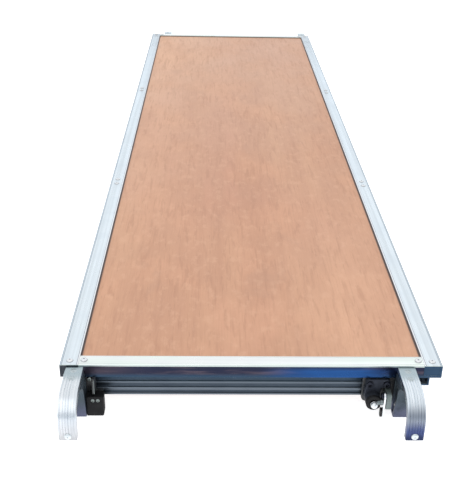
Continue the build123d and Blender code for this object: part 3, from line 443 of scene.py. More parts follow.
def aluminium_finish(name, along, tone, roughness=0.3, lines=0.35):
    """Extruded aluminium: die lines along its length, cloudy oxide and light scratches over its tone.
    The tone is a colour, or a function that writes one into the material."""
    metal = Finish(name, roughness, 1.0)
    fine, broad = (tuple(slow if i == along else fast for i in range(3))
                   for slow, fast in ((4.0, 1400.0), (1.5, 160.0)))
    die = metal.noise(fine, 3, 0.6, seed=2.0)
    streaks = metal.noise(broad, 2, 0.5, seed=6.0)
    cloud = metal.noise(22, 4, 0.6, seed=9.0)
    scratches = metal.between(metal.noise((90, 900, 300), 3, 0.6, 2.0, seed=14.0), 0.68, 0.75)
    shade = metal.over(0.88, 1.0, streaks, 0.35, 0.65)
    shade = metal.over(shade, (0.84, 0.85, 0.87), cloud, 0.45, 0.75, 0.35)
    shade = metal.mix(metal.times(metal.between(die, 0.5, 0.7), lines), shade, 0.76)
    shade = metal.mix(metal.times(scratches, 0.3), shade, 1.15)
    metal.set("Base Color", metal.mix(1.0, tone(metal) if callable(tone) else tone, shade, "MULTIPLY"))
    rough = metal.between(cloud, 0.3, 0.75, roughness - 0.06, roughness + 0.12)
    metal.set("Roughness", metal.math("ADD", rough, metal.times(scratches, 0.12)))
    metal.bump(die, 0.03, 0.5)
    metal.bump(cloud, 0.15, 0.15)
    return metal.material


def rightward(metal):
    """How far right of the deck's middle a point is, seen from the end that it is nearer to."""
    toward_end = metal.math("SIGN", metal.along(1))
    return metal.times(metal.along(0), metal.times(toward_end, -1.0))


def fascia_shade_and_reflection(metal):
    """End face in shade, painted as dark navy and purple reflections, teal lower down, and a painted blue
    reflection right of its middle.
    """
    across, height = rightward(metal), metal.along(2)
    patch = metal.noise((13, 13, 90), 3, 0.6, seed=18.0)
    navy = metal.over((0.024, 0.027, 0.052), (0.080, 0.066, 0.088), patch, 0.46, 0.66)
    navy = metal.over(navy, (0.085, 0.068, 0.085), across, -0.12, -0.2, 0.5)
    navy = metal.over(navy, (0.032, 0.062, 0.105), height, TOP_Z - 11 * MM, TOP_Z - CHANNEL_DEPTH * MM)
    # painted blue reflection right of the face's middle
    blue_reflection = metal.times(metal.between(across, 0.0, 0.08), metal.between(across, 0.2, 0.14))
    blue_reflection = metal.times(blue_reflection, metal.between(height, TOP_Z - 3 * MM, TOP_Z - 9 * MM, 0.3, 1.0))
    blue_reflection = metal.times(blue_reflection, metal.between(patch, 0.3, 0.55, 0.6, 1.0))
    return metal.mix(blue_reflection, navy, (0.020, 0.075, 0.235))


def end_face_shade(metal):
    """The corners' end faces: painted shade in dark grey on one side, and a painted bluer reflection on the other.
    """
    return metal.over((0.052, 0.059, 0.070), (0.034, 0.066, 0.115), rightward(metal), -0.2, 0.2)


def flat_and_shaded_end(flat, end, lip=0.8):
    """A profile that is one tone along the deck, and painted shade and reflection on its end face, below a painted
    highlight along its lip.
    """
    def tone(metal):
        facing = metal.between(metal.facing(1), 0.5, 0.8)
        below = metal.between(metal.along(2), TOP_Z - (lip - 0.4) * MM, TOP_Z - (lip + 0.4) * MM)
        # painted highlight on the lip along the end face's top edge
        with_lip_highlight = metal.mix(facing, flat(metal), (0.50, 0.57, 0.55))
        return metal.mix(metal.times(facing, below), with_lip_highlight, end(metal))
    return tone


def rail_tone(metal):
    """Bluish silver, with a painted highlight along its inboard edge, and painted shade on its outer corner and
    its side faces.
    """
    out = metal.away(0)
    inner, outer = TRIM_EXTENT.x1 * MM, RAIL_EXTENT.x1 * MM
    silver = metal.over((0.76, 0.84, 0.90), (0.92, 0.94, 0.97), out, inner + 4 * MM, inner)
    silver = metal.over(silver, (0.42, 0.49, 0.55), out, outer - 3.5 * MM, outer - 0.5 * MM)
    return metal.over(silver, (0.40, 0.46, 0.52), metal.facing(0), 0.25, 0.7)


def trim_tone(metal):
    warm = metal.noise((9, 40, 40), 2, 0.5, seed=21.0)
    return metal.over((0.90, 0.98, 0.94), (0.93, 0.96, 0.97), warm, 0.4, 0.6)


def beam_tone(metal):
    """Dark slate, painted shade on aluminium under the deck's end: lighter on the raised bands, with painted shade
    in the grooves, and darker and bluer up in the shade of the deck.
    """
    face, top = -END_Y + BEAM_EXTENT.front * MM, TOP_Z - BEAM_EXTENT.top * MM
    slate = (0.062, 0.080, 0.104)
    # painted shade in the grooves, lighter on the bands' faces
    slate = metal.over(slate, (0.132, 0.158, 0.190), metal.away(1), face - 1.5 * MM, face - 0.5 * MM)
    return metal.over(slate, (0.030, 0.055, 0.088), metal.along(2), top - 20 * MM, top - 6 * MM)


def hook_finish(name, tip_shade, tone=(1.0, 1.0, 1.0), tip_shade_tone=(0.06, 0.08, 0.19)):
    """Zinc-plated flat bar, drawn lengthwise, with painted shade beside the deck. tip_shade: how far painted shade
    and reflection darken its tip.
    """
    steel = Finish(name, 0.3, 1.0)
    drawn = steel.noise((1300, 9, 9), 3, 0.6, seed=4.0)
    wide = steel.noise((330, 5, 5), 2, 0.5, seed=7.0)
    cloud = steel.noise(60, 4, 0.6, seed=11.0)
    colour = steel.over((0.70, 0.77, 0.83), (0.84, 0.90, 0.95), wide, 0.35, 0.65)
    colour = steel.over(colour, (0.50, 0.56, 0.62), drawn, 0.5, 0.72, 0.5)
    colour = steel.over(colour, (0.66, 0.74, 0.76), cloud, 0.5, 0.75, 0.3)
    colour = steel.mix(1.0, colour, tone, "MULTIPLY")
    # painted shade beside the deck's end
    out = steel.math("SUBTRACT", steel.away(1), -END_Y)
    colour = steel.over(colour, (0.36, 0.45, 0.49), out, 34 * MM, 14 * MM, 0.85)
    # painted shade and reflection, darker toward the tip
    ragged = steel.math("ADD", steel.along(2), steel.times(steel.math("SUBTRACT", drawn, 0.5), 14 * MM))
    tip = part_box("near_inner_hook_strap")[0].z
    darkest = tuple(c * 0.45 for c in tip_shade_tone)
    for high, low, dark in ((54, 34, (0.24, 0.27, 0.32)), (34, 14, tip_shade_tone), (14, 4, darkest)):
        colour = steel.over(colour, dark, ragged, tip + high * MM, tip + low * MM, tip_shade)
    steel.set("Base Color", colour)
    steel.set("Roughness", steel.between(cloud, 0.3, 0.75, 0.24, 0.4))
    steel.bump(drawn, 0.05, 0.6)
    return steel.material


def hook_rivet_tone(steel):
    """Painted shade near the deck, as on the bar beside it, and bright at the tip."""
    return steel.over((0.80, 0.83, 0.86), (0.52, 0.59, 0.62), steel.along(2), 0.2 * TOP_Z, 0.5 * TOP_Z)


def cast_finish(name, upper, lower):
    """Sand-cast metal: grainy skin, soft stains, and an upper tone that blends into a lower one."""
    cast = Finish(name, 0.5, 0.75)
    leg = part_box("near_inner_hook_leg")
    grain = cast.noise(700, 3, 0.6, seed=1.0)
    pits = cast.cells(420, seed=3.0)
    stain = cast.noise(45, 4, 0.6, seed=5.0)
    foot, top = leg[0].z, leg[1].z
    colour = cast.over(lower, upper, cast.along(2), foot, foot + 0.55 * (top - foot))
    colour = cast.over(colour, tuple(c * 0.55 for c in upper), stain, 0.45, 0.7, 0.5)
    colour = cast.over(colour, tuple(min(1, c * 1.7) for c in lower), grain, 0.55, 0.75, 0.4)
    cast.set("Base Color", colour)
    cast.set("Roughness", cast.between(stain, 0.3, 0.7, 0.42, 0.64))
    cast.bump(grain, 0.16, 0.6)
    cast.bump(cast.between(pits, 0.0, 0.35), 0.08, 0.35)
    return cast.material


def paint_finish(name, tone):
    """Satin paint with orange peel, dust and worn specks."""
    paint = Finish(name, 0.38, Coat_Weight=0.15, Coat_Roughness=0.3)
    peel = paint.noise(520, 2, 0.5, seed=2.0)
    dust = paint.noise(60, 4, 0.6, seed=8.0)
    chips = paint.between(paint.noise(260, 4, 0.7, seed=15.0), 0.7, 0.73)
    colour = paint.over(tone, tuple(c + 0.05 for c in tone), dust, 0.4, 0.75, 0.35)
    colour = paint.mix(chips, colour, (0.28, 0.29, 0.30))
    # the flange's front edge is lighter on its inboard side
    edge = -END_Y + near("outer_hook_plate").front * MM
    lighter_edge = paint.times(paint.between(paint.away(1), edge - 1.2 * MM, edge - 0.5 * MM),
                         paint.between(dust, 0.3, 0.5, 0.4, 0.9))
    inside = (FLANGE_INSIDE + 1.4) * MM, (FLANGE_INSIDE + 0.6) * MM
    lighter_edge = paint.times(lighter_edge, paint.between(paint.away(0), *inside))
    paint.set("Base Color", paint.mix(lighter_edge, colour, (0.13, 0.155, 0.15)))
    paint.set("Roughness", paint.between(dust, 0.3, 0.7, 0.32, 0.54))
    paint.bump(peel, 0.05, 0.5)
    return paint.material


def steel_finish(name, tone, roughness=0.22, rim=0.0):
    """Bright turned or plated steel with fine tool marks and dull spots. rim: how much painted shade darkens its
    steep sides. The tone is a colour, or a function that writes one into the material."""
    steel = Finish(name, roughness, 1.0)
    marks = steel.noise(500, 3, 0.6, seed=2.5)
    spots = steel.noise(150, 4, 0.65, seed=6.5)
    tone = tone(steel) if callable(tone) else tone
    shade = steel.over(0.82, 1.0, marks, 0.35, 0.7)
    shade = steel.over(shade, 0.6, spots, 0.55, 0.72, 0.5)
    if rim:
        # painted shade on the steep sides
        shade = steel.over(shade, 0.35, steel.facing(2), 0.95, 0.6, rim)
    steel.set("Base Color", steel.mix(1.0, tone, shade, "MULTIPLY"))
    steel.set("Roughness", steel.between(spots, 0.35, 0.7, roughness - 0.05, roughness + 0.18))
    steel.bump(marks, 0.02, 0.5)
    return steel.material


def rubber_finish(name, tone, roughness=0.7):
    """Moulded rubber or plastic: fine grain, chalky bloom."""
    rubber = Finish(name, roughness, Specular_IOR_Level=0.2)
    grain = rubber.noise(900, 2, 0.5, seed=1.5)
    bloom = rubber.noise(70, 4, 0.6, seed=4.5)
    rubber.set("Base Color", rubber.over(tone, tuple(c + 0.014 for c in tone), bloom, 0.4, 0.75))
    rubber.set("Roughness", rubber.between(bloom, 0.3, 0.7, roughness - 0.1, roughness + 0.1))
    rubber.bump(grain, 0.05, 0.6)
    return rubber.material


TRIM_EXTENT, RAIL_EXTENT, BEAM_EXTENT = near("end_trim"), extent("right_side_rail"), near("end_beam")
CHANNEL_DEPTH = TRIM_EXTENT.bottom
# the outer plate's flange stands this far in from the plate's edge, and this far from the deck's middle
FLANGE_INSET = 34.5
FLANGE_INSIDE = -near("outer_hook_plate").x0 - FLANGE_INSET
PLYWOOD = plywood_finish()
RAIL = aluminium_finish("rail_aluminium", 1, flat_and_shaded_end(rail_tone, end_face_shade))
TRIM = aluminium_finish("trim_aluminium", 0, flat_and_shaded_end(trim_tone, fascia_shade_and_reflection, 2.3), lines=0.25)
BEAM = aluminium_finish("beam_aluminium", 0, beam_tone, roughness=0.36)
# the rail end plugs carry the end faces' painted shade and reflection all over
CAP = aluminium_finish("cap_aluminium_painted_shade", 0, end_face_shade, roughness=0.42)
UNDER = aluminium_finish("under_frame_aluminium", 0, (0.46, 0.50, 0.54), roughness=0.38)
RIVET = steel_finish("rivet_aluminium_bright", (0.90, 0.93, 0.96), 0.26, rim=0.8)
INNER_HOOK = hook_finish("inner_hook_zinc", 1.0)
OUTER_HOOK = hook_finish("outer_hook_zinc", 0.3, (0.93, 0.91, 0.90), (0.50, 0.47, 0.46))
# the leg's lighter, purple lower tone is a painted reflection of the ground, and its darker upper tone painted
# shade under the deck's end
LEG = cast_finish("leg_cast", (0.058, 0.078, 0.094), (0.095, 0.105, 0.17))
LOCK_CAST = cast_finish("lock_cast", (0.16, 0.195, 0.19), (0.22, 0.26, 0.26))
BARREL_CAST = cast_finish("barrel_cast", (0.036, 0.042, 0.058), (0.05, 0.055, 0.075))
PLATE = paint_finish("plate_black", (0.022, 0.024, 0.027))
BRIGHT = steel_finish("lock_steel_bright", (0.86, 0.90, 0.93), 0.2)
HOOK_RIVET = steel_finish("hook_rivet_zinc", hook_rivet_tone, 0.28)
DULL_ZINC = steel_finish("fastener_zinc_dull", (0.30, 0.34, 0.33), 0.34)
ROLLER = steel_finish("roller_steel_dull", (0.24, 0.28, 0.29), 0.34)
SPRING = steel_finish("spring_steel_wire", (0.55, 0.56, 0.58), 0.25)
ZINC = steel_finish("fastener_zinc", (0.74, 0.76, 0.77), 0.26)
OXIDE = steel_finish("fastener_black_oxide", (0.03, 0.033, 0.045), 0.34)
RUBBER = rubber_finish("rubber_black", (0.007, 0.007, 0.008))
GRIP = rubber_finish("grip_moulded", (0.012, 0.012, 0.013), 0.45)


# ---- deck frame ----
FLANGE, LEDGE = 3.0, 3.5
STEM_WIDTH, STEM_WALL = 15.0, 2.2


def channel_corners(width, edge):
    """Channel open at u = width, with its web at u = 0: (u, -below, corner radius).
    Two hair lines run along its top flange."""
    first, last, line, sunk = 2.6, 2.4, 0.55, 0.35
    top = []
    for u in (first, width - last):
        top += [(u, 0, 0), (u + line / 2, -sunk, 0), (u + line, 0, 0)]
    lip = LEDGE - CHANNEL_DEPTH
    return [
        (0, 0, edge), (0, -CHANNEL_DEPTH, 0.5), (width, -CHANNEL_DEPTH, 0.4), (width, lip, 0.3),
        (FLANGE, lip, 0.6), (FLANGE, -FLANGE, 0.6), (width, -FLANGE, 0.3), (width, 0, 0.5), *top[::-1],
    ]


def make_rails():
    e, wall = RAIL_EXTENT, STEM_WALL
    length, setback = -e.back, -BEAM_EXTENT.front
    channel = [(e.x1 - u, y) for u, y in rounded(channel_corners(e.x1 - TRIM_EXTENT.x1, 1.3))]
    stem = box_outline(e.x0, e.x0 + STEM_WIDTH, CHANNEL_DEPTH - 0.3, e.bottom, 1.0)
    hollow = box_outline(e.x0 + wall, e.x0 + STEM_WIDTH - wall, CHANNEL_DEPTH + wall, e.bottom - wall, 0.8)
    right = joined([
        slab([channel], front_plane(-length), length),
        slab([stem, hollow], front_plane(setback - length), length - 2 * setback, 0.25),
    ])
    left = right.copy()
    left.transform(HALF_TURN)
    place("right_rail_extrusion", right, RAIL, "right_side_rail")
    place("left_rail_extrusion", left, RAIL, "left_side_rail")


def make_trims():
    outline = [(-u, y) for u, y in rounded(channel_corners(TRIM_EXTENT.long, 1.2))]
    forms = [slab([outline], side_plane(TRIM_EXTENT.x1), TRIM_EXTENT.wide, 0.15)]
    both_ends("trim_extrusion", forms, TRIM, "end_trim")


def make_beams():
    """Ribbed box section: the bands between its grooves are rounded like rolled beads."""
    e = BEAM_EXTENT
    depth, wall = 2.2, 3.0
    corners = [(e.back, -e.top, 1.0), (e.back, -e.bottom, 1.0), (e.front, -e.bottom, 1.4)]
    for low, high in ((47.5, 51.8), (37.0, 43.0), (21.5, 33.5)):
        corners += [(e.front, -high, 0.8), (e.front - depth, -high, 0.8),
                    (e.front - depth, -low, 0.8), (e.front, -low, 0.8)]
    corners.append((e.front, -e.top, 0.5))
    hollow = box_outline(e.back + wall, e.front - 2 * wall, e.top + wall, e.bottom - wall, 1.5)
    forms = [slab([rounded(corners), hollow], side_plane(e.x1), e.wide, 0.2)]
    both_ends("beam_extrusion", forms, BEAM, "end_beam")


def make_cross_members():
    e = near("cross_member")
    wall = STEM_WALL
    outline = box_outline(e.back, e.front, e.top, e.bottom, 1.2)
    hollow = box_outline(e.back + wall, e.front - wall, e.top + wall, e.bottom - wall, 0.8)
    forms = [slab([outline, hollow], side_plane(e.x1), e.wide, 0.2)]
    both_ends("cross_member_tube", forms, UNDER, "cross_member")


def make_end_caps():
    forms = [slab([box_outline(e.x0, e.x1, e.top, e.bottom, 0.6)], front_plane(e.back), e.long, 0.35)
             for e in solids("rail_end_caps")]
    place("rail_end_plugs", joined(forms), CAP, "rail_end_caps")


def blind_rivet(origin, axis, radius, rise):
    """Domed blind rivet with its mandrel's recess and the broken mandrel inside it."""
    edge, mouth = 1.45, 1.15
    dome = [(radius * sin(t), rise * (cos(t) - cos(edge)) / (1 - cos(edge)))
            for t in (edge - edge * k / 9 for k in range(10))]
    dome = [(r / sin(edge), h) for r, h in dome if r > mouth]
    recess = [(mouth, rise * 0.93), (0.95, rise * 0.55), (0.8, rise * 0.6), (0.0, rise * 0.68)]
    return lathe([(radius, -0.1), *dome, *recess], origin, axis, 36)


def make_frame_rivets():
    forms = []
    for e in solids("frame_rivets"):
        centre, end = point(e.x, e.ahead, 0), -e.bottom
        shank = [(2.4, 0.0), (2.4, end + 0.3), (2.0, end), (0.0, end)]
        forms += [blind_rivet(centre, UP, e.wide / 2, -e.top), lathe(shank, centre, UP, 24)]
    place("frame_rivet_heads", joined(forms), RIVET, "frame_rivets")


# ---- hooks ----
STRAP = near("inner_hook_strap")
STRAP_THICKNESS = STRAP.front - TUBE_AHEAD - SEAT_RADIUS
GROOVES, GROOVE_WIDTH, GROOVE_DEPTH, GROOVE_MARGIN = 6, 0.9, 0.5, 2.4
TIP_ROUND = 2.5


def strap_section(x0, x1, groove):
    """Across the strap: (X, height above its underside), rounded, with grooves in its outer face."""
    top, edge = STRAP_THICKNESS, 0.9
    outer = []
    pitch = (x1 - x0 - 2 * GROOVE_MARGIN - GROOVE_WIDTH) / (GROOVES - 1)
    for k in range(GROOVES):
        left = x0 + GROOVE_MARGIN + k * pitch
        outer += [(left, top), (left + 0.2, top - groove), (left + GROOVE_WIDTH - 0.2, top - groove),
                  (left + GROOVE_WIDTH, top)]
    corner = [(edge * (1 - cos(t)), edge * (1 - sin(t))) for t in (pi / 2 * k / 4 for k in range(5))]
    high_left = [(x0 + dx, top - dy) for dx, dy in corner]
    high_right = [(x1 - dx, top - dy) for dx, dy in corner[::-1]]
    low_right = [(x1 - dx, dy) for dx, dy in corner]
    low_left = [(x0 + dx, dy) for dx, dy in corner[::-1]]
    return high_left + outer + high_right + low_right + low_left


def strap_stations():
    """Along the strap: (ahead and below of its underside, outward direction, tip shrink, groove share)."""
    stations = []
    straight = TUBE_AHEAD - STRAP.back
    for k in range(9):
        s = STRAP.back + straight * k / 9
        share = min(1.0, max(0.0, (s - 18.0) / 5.0))
        stations.append((s, -TUBE_BELOW + SEAT_RADIUS, (0.0, 1.0), 0.0, share))
    for k in range(33):
        t = pi / 2 * (1 - k / 32)
        out = (cos(t), sin(t))
        ahead, up = TUBE_AHEAD + SEAT_RADIUS * out[0], -TUBE_BELOW + SEAT_RADIUS * out[1]
        stations.append((ahead, up, out, 0.0, 1.0))
    drop = STRAP.bottom - TIP_ROUND - TUBE_BELOW
    for k in range(1, 7):
        y = -TUBE_BELOW - drop * k / 6
        share = min(1.0, max(0.0, (y + STRAP.bottom - 9.0) / 4.0))
        stations.append((TUBE_AHEAD + SEAT_RADIUS, y, (1.0, 0.0), 0.0, share))
    for k in range(1, 7):
        t = pi / 2 * k / 6
        y = -STRAP.bottom + TIP_ROUND * (1 - sin(t))
        stations.append((TUBE_AHEAD + SEAT_RADIUS, y, (1.0, 0.0), TIP_ROUND * (1 - cos(t)), 0.0))
    return stations


def make_strap(kind, material):
    e = near(f"{kind}_hook_strap")
    rows = []
    for ahead, up, out, shrink, share in strap_stations():
        row = []
        for x, t in strap_section(e.x0, e.x1, GROOVE_DEPTH * share):
            x = e.x + (x - e.x) * (1 - 1.2 * shrink / e.wide)
            t = shrink + t * (1 - 2 * shrink / STRAP_THICKNESS)
            row.append(point(x, ahead + out[0] * t, -(up + out[1] * t)))
        rows.append(row)
    both_ends(f"{kind}_hook_bar", [skin(rows)], material, f"{kind}_hook_strap")


def make_hook_rivets():
    forms = []
    for e in solids("near_hook_rivets"):
        radius, rise = e.wide / 2, e.front - STRAP.front
        if rise > 0:
            forms.append(blind_rivet(point(e.x, STRAP.front, e.below), FORWARD, radius, rise))
        else:
            rings = [(radius, -0.3), (radius, 0.02), (radius - 0.25, 0.16), (1.7, 0.22), (1.5, 0.05),
                     (0.0, 0.02)]
            forms.append(lathe(rings, point(e.x, e.ahead, e.top), UP, 36))
    both_ends("hook_rivet_heads", forms, HOOK_RIVET, "hook_rivets")


LEG_WALL, LEG_WEB, LEG_NOSE, LEG_TOE, LEG_HEEL, POCKET_TOP = 4.5, 5.0, 34.0, 9.0, 3.0, 23.0


def leg_outline():
    """The leg from the side: concave seat for the tube, front leaning back, rounded heel."""
    e = near("inner_hook_leg")
    under_strap = TUBE_BELOW - SEAT_RADIUS
    start = degrees(acos((LEG_NOSE - TUBE_AHEAD) / SEAT_RADIUS))
    seat = arc(TUBE_AHEAD, -TUBE_BELOW, SEAT_RADIUS, start, 180, 28)
    shoulder = near("inner_hook_plate").top
    corners = [(STRAP.back, -under_strap, 0), (LEG_NOSE, -under_strap, 0), *[(x, y, 0) for x, y in seat],
               (LEG_TOE, -e.bottom, 1.2), (e.back, -e.bottom, LEG_HEEL), (e.back, -shoulder, 1.0),
               (STRAP.back, -shoulder, 0)]
    return rounded(corners)


def pocket_outline(grow=0.0):
    """The leg's open pocket: the outline set in by a wall, cut off level below the strap."""
    e = near("inner_hook_leg")
    wall = LEG_WALL - grow
    radius, top, back, foot = SEAT_RADIUS + wall, POCKET_TOP - grow, e.back + wall, wall - e.bottom
    start = 180 - degrees(asin((TUBE_BELOW - top) / radius))
    seat = arc(TUBE_AHEAD, -TUBE_BELOW, radius, start, 180, 14)
    lean = (LEG_TOE - (TUBE_AHEAD - SEAT_RADIUS)) / (e.bottom - TUBE_BELOW)
    toe = TUBE_AHEAD - radius + lean * (-foot - TUBE_BELOW)
    corners = [(*seat[0], 0.8), *[(x, y, 0) for x, y in seat[2:]], (toe, foot, 2.0), (back, foot, 2.0),
               (back, -top, 2.5)]
    return rounded(corners)


def make_leg(kind):
    e = near(f"{kind}_hook_leg")
    recess = 0.5
    rim = slab([leg_outline(), pocket_outline()], side_plane(e.x1), e.wide, 0.5, 3)
    web_side = e.x0 + LEG_WEB if kind == "outer" else e.x1 - recess
    web = slab([pocket_outline(1.0)], side_plane(web_side), LEG_WEB - recess, 0.2)
    both_ends(f"{kind}_leg_casting", [rim, web], LEG, f"{kind}_hook_leg")


def hexagon(flats):
    """Radius of a hexagon at an angle, for a ring of a turned solid."""
    return lambda turn: flats / 2 / cos(turn % (pi / 3) - pi / 6)


def hex_head(origin, axis, flats, height):
    """Hexagon head: washer face, flats, and a turned crown that cuts the corners."""
    side = hexagon(flats)

    def crowned(rise):
        return lambda turn: min(side(turn), flats / 2 * (1.13 - 0.13 * rise))
    rings = [(flats * 0.47, 0.0), (flats * 0.47, 0.35), (side, 0.35), (side, height * 0.72),
             (crowned(0.5), height * 0.86), (crowned(1.0), height * 0.97), (flats * 0.43, height),
             (flats * 0.3, height), (flats * 0.28, height - 0.25), (0.0, height - 0.25)]
    return lathe(rings, origin, axis, 48)


def socket_head(origin, axis, radius, height):
    """Cap screw head with a knurled rim and a hexagon socket."""
    def knurl(turn):
        return radius - (0.14 if round(turn * 36 / pi) % 2 else 0.0)
    rings = [(radius - 0.2, 0.0), (knurl, 0.25), (knurl, height - 0.6), (radius - 0.3, height - 0.3),
             (radius - 0.7, height), (hexagon(radius), height), (hexagon(radius * 0.9), height - 0.3),
             (hexagon(radius * 0.9), height * 0.45), (0.0, height * 0.4)]
    return lathe(rings, origin, axis, 72)


def make_hook_bolts():
    forms, flats, head, seat = [], 12.6, 5.2, 5.3
    washer = [(4.4, 0.05), (6.6, 0.05), (6.6, 0.34), (4.4, 0.34)]
    for e in solids("near_hook_bolts"):
        origin = point(e.x, e.front - seat, e.below)
        shank = [(4.0, 0.0), (4.0, head - e.long), (0.0, seat - e.long)]
        forms += [hex_head(origin, FORWARD, flats, head), lathe(shank, origin, FORWARD),
                  lathe(washer, origin, FORWARD, 48, closed=True)]
    both_ends("hook_bolt_set", forms, ZINC, "hook_bolts")


def make_cap_screws(node, name, material, height=3.0, shank=2.5):
    """The near end's screws that run along the deck: a head where one is wide enough to have it."""
    forms = []
    for e in solids(f"near_{node}"):
        radius, length = e.wide / 2, e.long
        if radius > shank:
            origin = point(e.x, e.front - height, e.below)
            stem = [(shank, 0.0), (shank, height + 0.5 - length), (0.0, height - length)]
            forms += [socket_head(origin, FORWARD, radius, height), lathe(stem, origin, FORWARD)]
        else:
            stem = [(radius, 0.0), (radius, length - 0.5), (0.0, length)]
            forms.append(lathe(stem, point(e.x, e.back, e.below), FORWARD))
    both_ends(name, forms, material, node)


def make_plates():
    """Pressed plates behind the legs. The outer one has a flange, and a foot behind the buffer."""
    e, buffer = near("outer_hook_plate"), near("buffer_block")
    thickness, end = 5.0, -FLANGE_INSIDE
    face = rounded([
        (e.x0, -e.top, 1.0), (e.x0, -e.bottom, 3.0), (e.x1, -e.bottom, 3.0), (e.x1, -buffer.top, 1.0),
        (end, -buffer.top, 0.8), (end, -e.top, 1.0),
    ])
    flange = box_outline(e.back + 0.5, e.front, e.top, buffer.top - 1.0, 0.5, 4.0)
    forms = [slab([face], front_plane(e.back), thickness, 0.4), slab([flange], side_plane(end), 3.0, 0.4)]
    both_ends("outer_plate_pressing", forms, PLATE, "outer_hook_plate")

    e, plunger = near("inner_hook_plate"), near("lock_plunger")
    inside, step, clear = near("inner_hook_leg").x0, 60.0, 10.2
    face = rounded([
        (e.x0, -e.top, 1.5), (e.x0, -step, 6.0), (inside, -step, 2.0), (inside, -e.bottom, 1.0),
        (e.x1, -e.bottom, 1.0), (e.x1, -e.top, 1.0),
    ])
    hole = arc(plunger.x, -plunger.below, clear, 0, 350, 35)
    forms = [slab([face, hole], front_plane(e.back), e.long, 0.4)]
    both_ends("inner_plate_pressing", forms, PLATE, "inner_hook_plate")


def make_buffer():
    """Moulded rubber block with its screws' counterbores."""
    e = near("buffer_block")
    outline = box_outline(e.x0, e.x1, e.top, e.bottom, 0.8, 2.4)
    bores = [arc(s.x, -s.below, s.wide / 2 + 0.1, 0, 345, 23) for s in solids("near_buffer_screws")]
    forms = [slab([outline, *bores], front_plane(e.back), e.long, 0.9, 4)]
    both_ends("buffer_moulding", forms, RUBBER, "buffer_block")
    make_cap_screws("buffer_screws", "buffer_screw_set", DULL_ZINC, 2.0, 1.5)


# ---- lift-off lock ----
PLUNGER, BUSH, PIN = near("lock_plunger"), near("cross_pin_bush"), near("lock_cross_pin")
COLLAR, HOUSING, LEVER = near("lock_collar"), near("lock_housing"), near("lock_lever")
BARREL_RADIUS, BORE_RADIUS = COLLAR.tall / 2, 4.6
LOCK_BELOW = PLUNGER.below
PIVOT = Vector(JOINTS["near_lever_hinge"]["pos_m"])
PIVOT_AHEAD, PIVOT_BELOW = (END_Y - PIVOT.y) / MM, (TOP_Z - PIVOT.z) / MM
SLOT_HALF = BUSH.tall / 2 + 0.3
TRAVEL = JOINTS["near_plunger_slide"]["range_m"][1] / MM


def slotted_ring(outer, inner):
    """A ring seen from the front, open on its outboard side by the slot's width."""
    a, b = (degrees(asin(SLOT_HALF / r)) if SLOT_HALF < r else 75.0 for r in (outer, inner))
    x, y = PLUNGER.x, -LOCK_BELOW
    return arc(x, y, outer, a, 360 - a, 48) + arc(x, y, inner, 360 - b, b, 36)


def make_housing():
    """Cast bracket block on the plate, running down into the slotted barrel."""
    plate_face = near("inner_hook_plate").front
    block_front = min(s.front for s in solids("near_lock_screws") if s.wide > 5) - 3.0
    slot_back = HOUSING.front - (PIN.ahead - SLOT_HALF - TRAVEL)
    x0, x1, top, bottom = HOUSING.x0 + 1.0, HOUSING.x1, -HOUSING.top, -32.4
    left, right, middle = PLUNGER.x - BARREL_RADIUS, PLUNGER.x + BARREL_RADIUS, -LOCK_BELOW
    block = rounded([
        (x0, top, 5.0), (x0, bottom, 0.6), (left, bottom - 1, 0.6), (left, middle, 0),
        (right, middle, 0), (right, bottom, 2.0), (x1, bottom, 1.5), (x1, top, 5.0),
    ])
    full = [arc(PLUNGER.x, middle, r, 0, 352.5, 47) for r in (BARREL_RADIUS, BORE_RADIUS)]
    slotted = [slotted_ring(BARREL_RADIUS, BORE_RADIUS + 1.0)]
    spigot = [slotted_ring(BARREL_RADIUS - 1.5, BORE_RADIUS + 1.0)]
    forms = [
        slab([block], front_plane(plate_face), block_front - plate_face, 1.0, 3),
        slab(full, front_plane(HOUSING.back), slot_back - HOUSING.back, 0.3),
        slab(slotted, front_plane(slot_back - 0.5), COLLAR.back - slot_back + 0.5, 0.3),
        slab(spigot, front_plane(COLLAR.back - 0.5), HOUSING.front - COLLAR.back + 0.5, 0.3),
    ]
    both_ends("lock_barrel_casting", forms, BARREL_CAST, "lock_housing")


def make_collar():
    lip = 1.0
    band = [slotted_ring(BARREL_RADIUS, BARREL_RADIUS - 1.4)]
    face = [slotted_ring(BARREL_RADIUS, BORE_RADIUS + 0.6)]
    forms = [slab(band, front_plane(COLLAR.back), COLLAR.long - lip + 0.3, 0.2),
             slab(face, front_plane(COLLAR.front - lip - 0.2), lip + 0.2, 0.55, 4)]
    both_ends("lock_wiper_ring", forms, RUBBER, "lock_collar")


